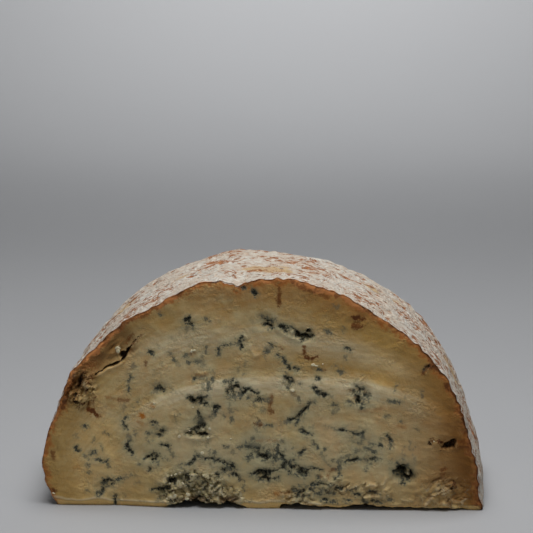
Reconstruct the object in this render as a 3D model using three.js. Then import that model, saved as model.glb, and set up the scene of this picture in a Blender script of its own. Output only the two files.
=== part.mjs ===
// Quarter of a blue cheese wheel, in millimetres, +Z up.
// The wheel is halved through its thickness and again across its diameter. The piece stands
// on the cut across the diameter, with the broad cut face towards -Y, the rind over the arch
// and the wheel's flat rind face at the back. Its sizes are given in the wheel's own frame:
// x from the wheel's axis, y from the broad cut into the piece, z up from the foot cut.
// The last step moves the origin to the middle of the piece's foot.

import * as THREE from "three";
import { mergeVertices } from "three/addons/utils/BufferGeometryUtils.js";

// Driving dimensions of the piece
const WHEEL_RADIUS = 140.4;
const AXIS_HEIGHT = 10.75;
const PIECE_DEPTH = 90;
const RIM_RADIUS = 14;

// Left foot corner, rubbed off: where it starts on the arch and how fast it cuts in
const WORN_CORNER_START = 174;
const WORN_CORNER_SLOPE = 0.85;

// Bulges and dips of the arch along its front edge: angle and spread in degrees, size in mm
const ARCH_LOBES = [
  { at: -6, spread: 5, size: 3.4 },
  { at: 15, spread: 6, size: -1.6 },
  { at: 33, spread: 7, size: 1.1 },
  { at: 55, spread: 5, size: -1.2 },
  { at: 80, spread: 7, size: 1.5 },
  { at: 95, spread: 2.6, size: -3.6 },
  { at: 105, spread: 5, size: 1.8 },
  { at: 118, spread: 6, size: -1.4 },
  { at: 147, spread: 5, size: 2.4 },
  { at: 159, spread: 5, size: -1.2 },
];
// The front edge's own shape dies out this far back, and the worn corner that far
const LOBE_REACH = 26;
const CORNER_REACH = 45;

// Where the whole rind stands out or lies low behind the front edge, as the lobes are given
const RIND_BULGES = [
  { at: -2, spread: 12, size: 4.4 },
  { at: 47, spread: 15, size: 2.2 },
  { at: 97, spread: 6, size: 2.4 },
  { at: 138, spread: 15, size: -1.8 },
];

// Uneven rind: broad swells, smaller dents, and the ragged edge where the knife tore it
const SWELL = { size: 0.9, along: 38, across: 30 };
const DENT = { size: 0.6, along: 13, across: 11 };
const RAGGED = { size: 0.5, along: 4.2, reach: 5 };

// Broad step across the face: the paste below it stands proud, with a soft upper edge that
// falls away with the cube of the distance from its crest
const LEDGE = { x: 20, z: 91, fall: 2.4e-5, height: 1.6, softness: 5, left: -75, right: 132, fade: 25 };

// Flake by the left shoulder that has sunk along a crack, the crack running up to the right
const CRACK = { x: -90, z: 98.5, turn: 41, halfLength: 21, fade: 9, halfWidth: 2.5, depth: 5.5, sink: 2.4 };

// Hollows torn open at the mould: centre, half width, half height, turn in degrees and depth
const HOLLOWS = [
  { name: "cave", x: 92.5, z: 25, rx: 9, rz: 8, turn: 12, depth: 10 },
  { name: "slit", x: 21, z: 118.4, rx: 15, rz: 4.2, turn: -16, depth: 7 },
  { name: "slit mouth", x: 4, z: 123, rx: 8, rz: 6, turn: 0, depth: 3 },
  { name: "cavity by the rind", x: 121, z: 44.5, rx: 7, rz: 4.5, turn: 15, depth: 4.5 },
  { name: "rind pocket", x: 132, z: 51, rx: 4.5, rz: 5, turn: 0, depth: 3.5 },
  { name: "left crag, high", x: -114, z: 80, rx: 6, rz: 9, turn: 15, depth: 4.5 },
  { name: "left crag, low", x: -112, z: 67, rx: 5, rz: 5, turn: 0, depth: 3 },
  { name: "star", x: -63, z: 79, rx: 6, rz: 6, turn: 0, depth: 2.5 },
  { name: "dark bar", x: -39, z: 71.5, rx: 9, rz: 4.5, turn: 8, depth: 3.2 },
  { name: "triangle", x: -38, z: 57, rx: 6.5, rz: 8, turn: -10, depth: 4 },
  { name: "crevice", x: -39, z: 50, rx: 11, rz: 3.5, turn: 0, depth: 4 },
  { name: "grainy patch", x: -15, z: 79, rx: 9, rz: 6, turn: 0, depth: 2.4 },
  { name: "lower blob", x: 2.5, z: 22.5, rx: 7, rz: 6, turn: -30, depth: 4 },
  { name: "middle cluster", x: 0, z: 36, rx: 8, rz: 4.5, turn: -15, depth: 2.2 },
  { name: "right star", x: 64.5, z: 77.5, rx: 8, rz: 8, turn: 0, depth: 3.6 },
  { name: "upper cluster", x: 18.5, z: 83, rx: 4.5, rz: 6.5, turn: 0, depth: 2.4 },
  { name: "long diagonal", x: 25, z: 64.5, rx: 12, rz: 3.5, turn: 42, depth: 2.6 },
  { name: "foot hook", x: -100, z: 13.5, rx: 6, rz: 8, turn: -25, depth: 3.6 },
  { name: "left cluster", x: -68.5, z: 33.5, rx: 6.5, rz: 5.5, turn: 0, depth: 3.4 },
  { name: "left row", x: -65.5, z: 49, rx: 9, rz: 5, turn: 15, depth: 2.4 },
  { name: "foot blobs", x: -62, z: 13, rx: 8, rz: 4.5, turn: 10, depth: 3.6 },
  { name: "foot blobs, upper", x: -54.5, z: 19, rx: 6, rz: 4, turn: 5, depth: 3 },
  { name: "arc cluster", x: -18, z: 25, rx: 6.5, rz: 6.5, turn: 0, depth: 2.8 },
  { name: "network knot", x: 27, z: 26, rx: 7.5, rz: 4.5, turn: -20, depth: 2.6 },
  { name: "right streak", x: 70, z: 31.5, rx: 5.5, rz: 6, turn: 0, depth: 2.4 },
  { name: "shoulder stain", x: 61.5, z: 124, rx: 7, rz: 8, turn: -15, depth: 2.4 },
];
// Share of a hollow's radius that is its floor, and how far its rim wanders, at which grain
const HOLLOW_FLOOR = 0.3;
const HOLLOW_WANDER = { share: 0.3, grain: 4 };

// Crumbly patches of the face: centre, half sizes, and size and grain of the crumbs' relief
const CRUMBLY = [
  { x: -48, z: 12, rx: 36, rz: 17, size: 1.8, grain: 6.5 },
  { x: 121, z: 10, rx: 18, rz: 12, size: 1.5, grain: 6 },
  { x: 72, z: 14, rx: 16, rz: 9, size: 1.1, grain: 7 },
  { x: 50, z: 15, rx: 14, rz: 9, size: 1.2, grain: 6 },
  { x: -106, z: 76, rx: 16, rz: 18, size: 1.2, grain: 7 },
];
const CRUMBLY_CORE = 0.55;

// Gaps under the front edge, where the foot has crumbled away: x range, height and reach
const FOOT_GAPS = [
  { from: -60, to: -38, height: 3.2, reach: 8 },
  { from: -40, to: 2, height: 4.2, reach: 11 },
  { from: 14, to: 43, height: 4.4, reach: 11 },
  { from: 44, to: 88, height: 1.4, reach: 3 },
  { from: 88, to: 134, height: 2.2, reach: 5 },
];
const GAP_CORE = 0.6;
const GAP_WANDER = { share: 0.4, grain: 6 };

// Low waves that the knife and the soft paste leave over the whole cut
const CUT_WAVE = { size: 0.7, wide: 30, high: 19 };
const CUT_RIPPLE = { size: 0.35, wide: 11, high: 9 };

// Uneven flat rind face at the back
const BACK_WAVE = { size: 1.4, wide: 46 };

// Grid of the broad cut, its rows closer together towards the foot, and half as many columns
// and rows at the back
const FACE_COLUMNS = 72;
const FACE_ROWS = 36;
const ROW_CROWDING = 1.15;
const ARCH_SEGMENTS = FACE_COLUMNS + 2 * FACE_ROWS;

// Depths of the fine rows behind the front edge and of the coarse rows, and steps of the rim
const FINE_DEPTHS = [1.4, 4, 8];
const COARSE_DEPTHS = [14, 22, 31, 41, 52, 64, 76];
const RIM_STEPS = 4;
// The fine rows follow the front edge's relief, up to this much, until this far behind it
const EDGE_RELIEF = 4;
const EDGE_FADE = 12;

// Flat rest in the middle of the foot: half length, half width and distance behind the cut
const REST = { halfLength: 60, halfWidth: 22, y: 46 };

// Seeds of the noises, one for each use
const SEED = { swell: 1, dent: 2, ragged: 3, hollow: 4, crumbs: 5, gap: 6, wave: 7, ripple: 8, back: 9 };

// Angles, in degrees, between which a foot corner is looked for, and how often it is halved
const RIGHT_FOOT = [20, -20];
const LEFT_FOOT = [160, 200];
const HALVINGS = 40;

const degrees = THREE.MathUtils.degToRad;
const smoothstep = THREE.MathUtils.smoothstep;
const lerp = THREE.MathUtils.lerp;

// A fixed pseudo-random number from 0 to 1 at each whole-numbered place
function lattice(i, j, seed) {
  const value = Math.sin(i * 127.1 + j * 311.7 + seed * 74.7) * 43758.5453;
  return value - Math.floor(value);
}

// Smooth noise from -1 to 1 between the lattice's places
function noise(x, y, seed) {
  const i = Math.floor(x);
  const j = Math.floor(y);
  const u = smoothstep(x - i, 0, 1);
  const v = smoothstep(y - j, 0, 1);
  const low = lerp(lattice(i, j, seed), lattice(i + 1, j, seed), u);
  const high = lerp(lattice(i, j + 1, seed), lattice(i + 1, j + 1, seed), u);
  return 2 * lerp(low, high, v) - 1;
}

function lobeSum(lobes, angle) {
  let sum = 0;
  for (const lobe of lobes) {
    sum += lobe.size * Math.exp(-(((angle - lobe.at) / lobe.spread) ** 2));
  }
  return sum;
}

// Radius of the rind at an angle in degrees and a depth behind the broad cut
function rindRadius(angle, depth) {
  const lobes = lobeSum(ARCH_LOBES, angle) * Math.exp(-((depth / LOBE_REACH) ** 2));
  const corner = Math.max(0, angle - WORN_CORNER_START) * WORN_CORNER_SLOPE;
  const worn = corner * Math.exp(-((depth / CORNER_REACH) ** 2));
  const arc = degrees(angle) * WHEEL_RADIUS;
  const swell = SWELL.size * noise(arc / SWELL.along, depth / SWELL.across, SEED.swell);
  const dent = DENT.size * noise(arc / DENT.along, depth / DENT.across, SEED.dent);
  const torn = RAGGED.size * noise(arc / RAGGED.along, depth / RAGGED.along, SEED.ragged);
  const behindEdge = smoothstep(depth, 0, LOBE_REACH);
  const rind = (lobeSum(RIND_BULGES, angle) + swell + dent) * behindEdge;
  return WHEEL_RADIUS + lobes - worn + rind + torn * Math.exp(-depth / RAGGED.reach);
}

// Angle at which the arch, at one depth and inset, comes down to the foot cut
function footAngle([start, end], depth, inset) {
  let above = start;
  let below = end;
  for (let step = 0; step < HALVINGS; step += 1) {
    const middle = (above + below) / 2;
    const height = AXIS_HEIGHT + (rindRadius(middle, depth) - inset) * Math.sin(degrees(middle));
    if (height > 0) {
      above = middle;
    } else {
      below = middle;
    }
  }
  return (above + below) / 2;
}

// The arch at one depth: a function from a share of its way, right foot to left foot, to x and z
function archAt(depth, inset) {
  const right = footAngle(RIGHT_FOOT, depth, inset);
  const left = footAngle(LEFT_FOOT, depth, inset);
  return (share) => {
    const angle = lerp(right, left, share);
    const radius = rindRadius(angle, depth) - inset;
    const isFoot = share === 0 || share === 1;
    const z = isFoot ? 0 : AXIS_HEIGHT + radius * Math.sin(degrees(angle));
    return { x: radius * Math.cos(degrees(angle)), z };
  };
}

// A feature's own axes: how far a point lies along and across it
function featureAxes(x, z, feature) {
  const turn = degrees(feature.turn ?? 0);
  const dx = x - feature.x;
  const dz = z - feature.z;
  const along = dx * Math.cos(turn) + dz * Math.sin(turn);
  const across = dz * Math.cos(turn) - dx * Math.sin(turn);
  return { along, across };
}

// Distance from a feature's centre as a share of its half sizes
function ellipseDistance(x, z, feature) {
  const { along, across } = featureAxes(x, z, feature);
  return Math.hypot(along / feature.rx, across / feature.rz);
}

function ledge(x, z) {
  const crest = LEDGE.z - LEDGE.fall * Math.abs(x - LEDGE.x) ** 3;
  const below = 1 - smoothstep(z, crest - LEDGE.softness, crest + LEDGE.softness);
  const inLeft = smoothstep(x, LEDGE.left - LEDGE.fade, LEDGE.left + LEDGE.fade);
  const inRight = 1 - smoothstep(x, LEDGE.right - LEDGE.fade, LEDGE.right);
  return LEDGE.height * below * inLeft * inRight;
}

function crack(x, z) {
  const { along, across } = featureAxes(x, z, CRACK);
  const share = 1 - smoothstep(Math.abs(along), CRACK.halfLength - CRACK.fade, CRACK.halfLength);
  const groove = CRACK.depth * Math.exp(-((across / CRACK.halfWidth) ** 2));
  const sunkBeyond = CRACK.sink * smoothstep(across, -CRACK.halfWidth, 2 * CRACK.halfWidth);
  return -share * (groove + sunkBeyond);
}

function hollows(x, z) {
  const { share, grain } = HOLLOW_WANDER;
  const wander = 1 + share * noise(x / grain, z / grain, SEED.hollow);
  let deepest = 0;
  for (const hollow of HOLLOWS) {
    const distance = ellipseDistance(x, z, hollow) * wander;
    deepest = Math.max(deepest, hollow.depth * (1 - smoothstep(distance, HOLLOW_FLOOR, 1)));
  }
  return -deepest;
}

function crumbs(x, z) {
  let sum = 0;
  for (const patch of CRUMBLY) {
    const share = 1 - smoothstep(ellipseDistance(x, z, patch), CRUMBLY_CORE, 1);
    sum += share * patch.size * noise(x / patch.grain, z / patch.grain, SEED.crumbs);
  }
  return sum;
}

function footGap(x, z) {
  const wander = 1 + GAP_WANDER.share * noise(x / GAP_WANDER.grain, 0, SEED.gap);
  let reach = 0;
  for (const gap of FOOT_GAPS) {
    const middle = (gap.from + gap.to) / 2;
    const half = (gap.to - gap.from) / 2;
    const share = 1 - smoothstep(Math.abs(x - middle) / half, GAP_CORE, 1);
    reach += gap.reach * share * (1 - smoothstep(z, 0, gap.height * wander));
  }
  return -reach;
}

function cutWaves(x, z) {
  const wave = CUT_WAVE.size * noise(x / CUT_WAVE.wide, z / CUT_WAVE.high, SEED.wave);
  const ripple = CUT_RIPPLE.size * noise(x / CUT_RIPPLE.wide, z / CUT_RIPPLE.high, SEED.ripple);
  return wave + ripple;
}

// How far behind its plane the broad cut lies at x and z; less than nothing stands proud
function cutDepth(x, z) {
  return -(ledge(x, z) + crack(x, z) + hollows(x, z) + crumbs(x, z) + footGap(x, z) + cutWaves(x, z));
}

// How far behind the broad cut the flat rind face lies
function backDepth(x, z) {
  const wave = noise(x / BACK_WAVE.wide, z / BACK_WAVE.wide, SEED.back);
  return PIECE_DEPTH - BACK_WAVE.size * (0.5 + 0.5 * wave);
}

// Place of a grid point on a half disc: its way along the arch and out towards it, as shares.
// The square grid's left, top and right sides lie on the arch, and its bottom on the foot.
function discPlace(i, j) {
  const u = (2 * i) / FACE_COLUMNS - 1;
  const v = (j / FACE_ROWS) ** ROW_CROWDING;
  const across = u * Math.sqrt(1 - (v * v) / 2);
  const up = v * Math.sqrt(1 - (u * u) / 2);
  return { along: Math.atan2(up, across) / Math.PI, out: Math.hypot(across, up) };
}

// Grid place of a point on the arch, counted from the right foot
function gridPlace(k) {
  if (k <= FACE_ROWS) {
    return [FACE_COLUMNS, k];
  }
  if (k >= FACE_ROWS + FACE_COLUMNS) {
    return [0, ARCH_SEGMENTS - k];
  }
  return [FACE_ROWS + FACE_COLUMNS - k, FACE_ROWS];
}

// Points over the arch from the right foot to the left, every one or every second one
function archRow(arch, step, depthAt) {
  const row = [];
  for (let k = 0; k <= ARCH_SEGMENTS; k += step) {
    const { x, z } = arch(discPlace(...gridPlace(k)).along);
    row.push(new THREE.Vector3(x, depthAt(x, z), z));
  }
  return row;
}

// Half disc inside an arch: lines of points from left to right, from the foot to the top
function halfDisc(arch, row, step, depthAt) {
  const middle = (row[0].x + row[row.length - 1].x) / 2;
  const lines = [];
  for (let j = 0; j <= FACE_ROWS; j += step) {
    const line = [];
    for (let i = 0; i <= FACE_COLUMNS; i += step) {
      const { along, out } = discPlace(i, j);
      const edge = arch(along);
      const x = lerp(middle, edge.x, out);
      const z = edge.z * out;
      line.push(new THREE.Vector3(x, depthAt(x, z), z));
    }
    lines.push(line);
  }
  for (let k = 0; k <= ARCH_SEGMENTS; k += step) {
    const [i, j] = gridPlace(k);
    lines[j / step][i / step] = row[k / step];
  }
  return lines;
}

// Triangle corners of the whole skin, three numbers each
const corners = [];

function addTriangle(a, b, c) {
  corners.push(a.x, a.y, a.z, b.x, b.y, b.z, c.x, c.y, c.z);
}

// Strip between two rows of an arch, the nearer row with as many points or twice as many
function addStrip(near, far) {
  const ratio = (near.length - 1) / (far.length - 1);
  for (let i = 0; i < far.length - 1; i += 1) {
    const first = near[i * ratio];
    const last = near[(i + 1) * ratio];
    if (ratio === 1) {
      addTriangle(first, far[i], last);
      addTriangle(last, far[i], far[i + 1]);
    } else {
      const middle = near[i * ratio + 1];
      addTriangle(first, far[i], middle);
      addTriangle(middle, far[i], far[i + 1]);
      addTriangle(middle, far[i + 1], last);
    }
  }
}

// Skin of a half disc. Its upper corner cells lie flat along the arch, so each half of the
// grid is split along the diagonals that run to its own upper corner.
function addHalfDisc(lines, facesFront) {
  const columns = lines[0].length - 1;
  for (let j = 0; j < lines.length - 1; j += 1) {
    for (let i = 0; i < columns; i += 1) {
      const ring = [lines[j][i], lines[j][i + 1], lines[j + 1][i + 1], lines[j + 1][i]];
      if (i < columns / 2) {
        ring.push(ring.shift());
      }
      if (!facesFront) {
        [ring[1], ring[3]] = [ring[3], ring[1]];
      }
      addTriangle(ring[0], ring[1], ring[2]);
      addTriangle(ring[0], ring[2], ring[3]);
    }
  }
}

// Foot cut: one plane, with a rectangular rest in its middle
function addFoot(outline) {
  const near = REST.y - REST.halfWidth;
  const far = REST.y + REST.halfWidth;
  const rest = [
    new THREE.Vector3(-REST.halfLength, near, 0),
    new THREE.Vector3(REST.halfLength, near, 0),
    new THREE.Vector3(REST.halfLength, far, 0),
    new THREE.Vector3(-REST.halfLength, far, 0),
  ];
  const points = [...outline, ...rest];
  const flat = (point) => new THREE.Vector2(point.x, point.y);
  const faces = THREE.ShapeUtils.triangulateShape(outline.map(flat), [rest.map(flat)]);
  for (const face of faces) {
    addDownward(...face.map((index) => points[index]));
  }
  addDownward(rest[0], rest[1], rest[2]);
  addDownward(rest[0], rest[2], rest[3]);
}

function addDownward(a, b, c) {
  const turn = (b.x - a.x) * (c.y - a.y) - (b.y - a.y) * (c.x - a.x);
  if (turn > 0) {
    addTriangle(a, c, b);
  } else {
    addTriangle(a, b, c);
  }
}

// Rows over the arch behind the front edge: fine ones, coarse ones, then round the rim
function rindRows() {
  const rows = [];
  for (const depth of FINE_DEPTHS) {
    const fade = 1 - depth / EDGE_FADE;
    const depthAt = (x, z) => {
      const relief = THREE.MathUtils.clamp(cutDepth(x, z), -EDGE_RELIEF, EDGE_RELIEF);
      return depth + fade * relief;
    };
    rows.push(archRow(archAt(depth, 0), 1, depthAt));
  }
  for (const depth of COARSE_DEPTHS) {
    rows.push(archRow(archAt(depth, 0), 2, () => depth));
  }
  for (let step = 1; step < RIM_STEPS; step += 1) {
    const turn = degrees((90 * step) / RIM_STEPS);
    const depth = PIECE_DEPTH - RIM_RADIUS * (1 - Math.sin(turn));
    const inset = RIM_RADIUS * (1 - Math.cos(turn));
    rows.push(archRow(archAt(depth, inset), 2, () => depth));
  }
  return rows;
}

function buildCheese() {
  const frontArch = archAt(0, 0);
  const backArch = archAt(PIECE_DEPTH, RIM_RADIUS);
  const frontRow = archRow(frontArch, 1, cutDepth);
  const backRow = archRow(backArch, 2, backDepth);
  const between = rindRows();
  const rows = [frontRow, ...between, backRow];
  for (let i = 0; i < rows.length - 1; i += 1) {
    addStrip(rows[i], rows[i + 1]);
  }
  const front = halfDisc(frontArch, frontRow, 1, cutDepth);
  const back = halfDisc(backArch, backRow, 2, backDepth);
  addHalfDisc(front, true);
  addHalfDisc(back, false);
  const rightSide = between.map((row) => row[0]);
  const leftSide = between.map((row) => row[row.length - 1]);
  addFoot([...front[0], ...rightSide, ...back[0].toReversed(), ...leftSide.toReversed()]);

  const loose = new THREE.BufferGeometry();
  loose.setAttribute("position", new THREE.Float32BufferAttribute(corners, 3));
  const geometry = mergeVertices(loose);
  geometry.computeBoundingBox();
  const box = geometry.boundingBox;
  geometry.translate(-(box.min.x + box.max.x) / 2, -(box.min.y + box.max.y) / 2, 0);
  geometry.computeVertexNormals();
  return geometry;
}

const paste = new THREE.MeshStandardMaterial({ color: 0xd5b989, roughness: 0.55, metalness: 0 });
const cheese = new THREE.Mesh(buildCheese(), paste);
cheese.name = "cheese";

const piece = new THREE.Group();
piece.add(cheese);

export default piece;
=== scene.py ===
import math
import random

import bmesh
import bpy
import numpy as np
from bpy.props import FloatProperty, FloatVectorProperty, IntProperty, PointerProperty, StringProperty
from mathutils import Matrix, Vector


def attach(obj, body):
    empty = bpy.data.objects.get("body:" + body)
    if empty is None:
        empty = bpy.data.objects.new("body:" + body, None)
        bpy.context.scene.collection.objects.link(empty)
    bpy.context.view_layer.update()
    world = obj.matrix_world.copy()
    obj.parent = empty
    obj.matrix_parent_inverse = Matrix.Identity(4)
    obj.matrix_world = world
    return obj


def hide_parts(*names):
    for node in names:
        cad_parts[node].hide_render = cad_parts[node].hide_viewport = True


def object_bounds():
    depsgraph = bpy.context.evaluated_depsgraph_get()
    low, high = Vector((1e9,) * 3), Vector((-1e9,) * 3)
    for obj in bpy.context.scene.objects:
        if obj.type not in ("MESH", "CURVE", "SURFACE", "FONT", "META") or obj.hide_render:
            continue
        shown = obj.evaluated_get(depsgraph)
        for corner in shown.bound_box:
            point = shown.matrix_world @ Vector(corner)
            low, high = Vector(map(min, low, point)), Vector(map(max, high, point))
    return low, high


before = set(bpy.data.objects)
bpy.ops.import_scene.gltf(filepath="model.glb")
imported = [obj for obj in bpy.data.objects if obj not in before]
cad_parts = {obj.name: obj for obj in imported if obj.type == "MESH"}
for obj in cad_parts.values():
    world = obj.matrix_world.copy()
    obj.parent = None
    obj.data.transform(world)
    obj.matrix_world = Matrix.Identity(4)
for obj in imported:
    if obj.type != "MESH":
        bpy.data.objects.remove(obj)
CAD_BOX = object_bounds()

# Quarter of a blue cheese wheel: a half disc of veined paste, cut and torn, under a bloomed
# rind. The piece is shaped in the wheel's own frame, in millimetres: x from the wheel's
# axis, y from the broad cut into the piece, z up from the foot cut. It is moved into the
# part's frame, in metres, at the end.

bl_info = {
    "name": "Blue Cheese Quarter",
    "version": (1, 0, 0),
    "blender": (4, 5, 0),
    "location": "3D View > Sidebar > Cheese",
    "description": "Makes a quarter of a veined cheese wheel with its curds, stage and light",
    "category": "Add Mesh",
}

MM = 0.001
NODE = "cheese"

# Where the wheel's axis and the broad cut lie in the part's frame, in mm
WHEEL_AXIS_X = -2.6313
BROAD_CUT_Y = -43.3109

# Height of the wheel's axis over the foot cut, in metres
AXIS_HEIGHT = 0.01075

# Angles between which the arch comes down to the foot, and how often they are halved
RIGHT_FOOT = (20.0, -20.0)
LEFT_FOOT = (160.0, 200.0)
HALVINGS = 40

# Left foot corner, rubbed off: where it starts on the arch and how fast it cuts in
WORN_CORNER_START = 174
WORN_CORNER_SLOPE = 0.85

# Bulges and dips of the arch along its front edge: angle and spread in degrees, size in mm
ARCH_LOBES = [
    (-6, 5, 3.4), (15, 6, -1.6), (33, 7, 1.1), (55, 5, -1.2), (80, 7, 1.5), (95, 2.6, -3.6), (105, 5, 1.8),
    (118, 6, -1.4), (147, 5, 2.4), (159, 5, -1.2),
]
LOBE_REACH = 26
CORNER_REACH = 45

# Where the whole rind stands out or lies low behind the front edge, as the lobes are given
RIND_BULGES = [(-2, 12, 4.4), (47, 15, 2.2), (97, 6, 2.4), (138, 15, -1.8)]

# How far behind the front edge the rind's ragged cut edge reaches, and within how many mm of
# it the fine relief gets weaker
RAGGED_REACH = 5
CALM_EDGE = 6

# Noises of the form, each with its size in mm, its grain in mm along and across, and its seed.
# Where a noise makes a reach, a width or a height uneven, its size is a share of that
NOISES = {
    "swell": (0.9, 38, 30, 1),
    "dent": (0.6, 13, 11, 2),
    "ragged": (0.8, 3.6, 3.6, 3),
    "wrinkle": (0.7, 8.5, 2.2, 11),
    "wrinkle wander": (2, 17, 9, 20),
    "knob": (0.45, 5.2, 4.1, 12),
    "bloom": (0.26, 2.3, 1.7, 13),
    "back": (0.7, 46, 46, 9),
    "back knob": (0.5, 6, 6, 12),
    "back bloom": (0.35, 2.6, 2.6, 13),
    "edge rounding": (0.6, 1 / 1.1, 1, 3),
    "crust width": (0.45, 7, 7, 24),
    "fine crust width": (0.3, 2.4, 2.4, 25),
    "crack width": (0.4, 2.6, 2.6, 24),
    "hollow edge": (0.3, 4, 4, 4),
    "crumb warp, x": (2.2, 3.6, 3.6, 25),
    "crumb warp, z": (2.2, 3.6, 3.6, 26),
    "layers": (0.7, 8, 2.6, 41),
    "fine layers": (0.4, 3.4, 1.2, 42),
    "layer wander": (0.9, 4.5, 4.5, 43),
    "gap": (0.28, 4, 4, 6),
    "fine gap": (0.168, 1.9, 2, 6),
    "recess edge": (0.3, 3, 3, 8),
    "foot crest": (0.22, 13, 13, 6.5),
    "fine foot crest": (0.08, 4, 4, 6.7),
    "wave": (0.7, 30, 19, 7),
    "ripple": (0.35, 11, 9, 8),
    "grain": (0.16, 3.6, 2.6, 14),
    "crease": (1, 13, 3.8, 31),
    "crease patch": (1, 24, 16, 32),
    "pit": (0.5, 1.5, 1.5, 27),
    "mark warp, x": (0.45, 4.6, 4.6, 20),
    "fine mark warp, x": (0.4, 1.9, 1.9, 21),
    "mark warp, z": (0.45, 4.6, 4.6, 22),
    "fine mark warp, z": (0.4, 1.9, 1.9, 23),
    "mark width": (0.5, 2.4, 2.4, 24),
}
# Seeds of the crumbs' smooth noise and of their chunks
CRUMB_SEED = 5
CHUNK_SEED = 15

# Broad step across the face: the paste below it stands proud, with a soft upper edge
LEDGE = {
    "x": 20, "z": 87.5, "fall": 2.4e-5, "height": 1.5, "softness": 5, "left": -75, "right": 132, "fade": 25,
}

# Pale arc of paste over the ledge, in mm: its crown, how it falls to both sides, its half
# height and ends, and how much weaker it is about its crown
PALE_ARC = {
    "x": -5, "z": 114, "fall": 0.0022, "core": 1, "half_height": 13, "left": -72, "right": 97, "fade": 16,
    "dip": 0.45, "dip_reach": 24,
}

# Flake by the left shoulder that has sunk along a crack
CRACK = {"x": -90, "z": 98.5, "turn": 41, "half_length": 21, "fade": 9, "half_width": 2.5, "sink": 2.4}
CRACK_DEPTH = 5.5
CRACK_LINE = [
    (-103, 87.6), (-99.7, 90.5), (-96.1, 93.2), (-92.5, 94.3), (-88.5, 96.2), (-86, 98), (-83, 103.6),
    (-80.8, 106.4), (-78.5, 110.2), (-76.2, 113.1),
]
# Hole in the crack: centre, half length, half width and turn
CRACK_HOLE = (-86, 100.6, 3.2, 2.6, 35)
# Width of the split in mm, its least width, from where to where it narrows and fades along x,
# and how far it fades
CRACK_WIDTH = 0.5
CRACK_LEAST_WIDTH = 0.15
CRACK_NARROWS = (-86, -80)
CRACK_FADES = (-84, -79)
CRACK_FADE = 0.72

# Hollows torn open at the mould: centre, half width, half height, turn in degrees, depth
HOLLOWS = {
    "cave": (92.5, 25, 9, 8, 12, 10),
    "slit": (29, 115.6, 8, 4.6, -8, 7),
    "slit mouth": (4, 123, 8, 6, 0, 3),
    "cavity by the rind": (121, 44.5, 7, 4.5, 15, 4.5),
    "rind pocket": (132, 51, 4.5, 5, 0, 3.5),
    "left crag, high": (-114, 80, 6, 9, 15, 4.5),
    "left crag, low": (-112, 67, 5, 5, 0, 3),
    "star": (-63, 79, 6, 6, 0, 2.5),
    "dark bar": (-39, 71.5, 9, 4.5, 8, 3.2),
    "triangle": (-38, 57, 6.5, 8, -10, 4),
    "crevice": (-39, 50, 11, 3.5, 0, 4),
    "grainy patch": (-15, 79, 9, 6, 0, 2.4),
    "lower blob": (2.5, 22.5, 7, 6, -30, 4),
    "middle cluster": (0, 36, 8, 4.5, -15, 2.2),
    "right star": (64.5, 77.5, 8, 8, 0, 3.6),
    "upper cluster": (18.5, 83, 4.5, 6.5, 0, 2.4),
    "long diagonal": (25, 64.5, 12, 3.5, 42, 2.6),
    "foot hook": (-100, 13.5, 6, 8, -25, 3.6),
    "left cluster": (-68.5, 33.5, 6.5, 5.5, 0, 3.4),
    "left row": (-65.5, 49, 9, 5, 15, 2.4),
    "foot blobs": (-61, 12.6, 7, 4, 10, 2.0),
    "foot blobs, upper": (-54.5, 19, 6, 4, 5, 3),
    "arc cluster": (-18, 25, 6.5, 6.5, 0, 2.8),
    "network knot": (27, 26, 7.5, 4.5, -20, 2.6),
    "right streak": (70, 31.5, 5.5, 6, 0, 2.4),
    "shoulder stain": (61.5, 124, 7, 8, -15, 2.4),
}
HOLLOW_FLOOR = 0.3
# Share of a hollow's depth that its whole area has; the mould's own marks have all of it
HOLLOW_DISH = 0.4

# Crumbly patches of the face: centre, half sizes, size and grain of the crumbs' relief, and
# how white and mouldy the crumbs are
CRUMBLY = [
    (-42, 12, 28, 17, 2.3, 5.6, 1.0), (-22, 7, 16, 10, 1.6, 6, 0.8), (121, 12, 19, 14, 1.0, 9, 0.1),
    (72, 12, 18, 9, 0.8, 6.4, 0.1), (50, 15, 14, 9, 0.9, 5.4, 0.15), (24, 9, 14, 8, 1.2, 4.6, 0.25),
    (-114, 78, 14, 15, 1.7, 3.6, 0.1), (-39, 51, 10, 5, 1.0, 4, 0.4),
]
# Share of a crumbly patch's half sizes within which it is full
CRUMBLY_CORE = 0.55
# Large and small crumbs as shares of a patch's grain
CRUMB_SIZES = (0.8, 0.36)
# Chunks: share and tilt of their flat tops, share, radius and foot of their domes, and width
# of the gaps between them, in chunks
CHUNK = {"top": 0.85, "tilt": 3, "dome": 0.75, "dome_radius": 0.85, "dome_foot": 0.6, "gap": 0.22}

# Places torn in layers: centre, half sizes, turn of the layers in degrees, size of the relief
STRATA = [
    (-93, 105, 21, 8, 41, 1.9), (-112, 77, 11, 17, 64, 2.2), (116, 14, 18, 13, 24, 1.3),
    (74, 12, 16, 8, 8, 1.3), (-129, 38, 6, 22, 94, 0.6), (120, 45, 12, 6, 12, 1.1), (62, 124, 6, 7, 4, 1.0),
    (-19, 6, 12, 5, 0, 1.0), (-39, 49, 10, 4, 0, 1.0), (34, 6, 14, 5, -8, 0.8),
]
# Share of a torn place's half sizes within which it is full
STRATA_CORE = 0.45

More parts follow.
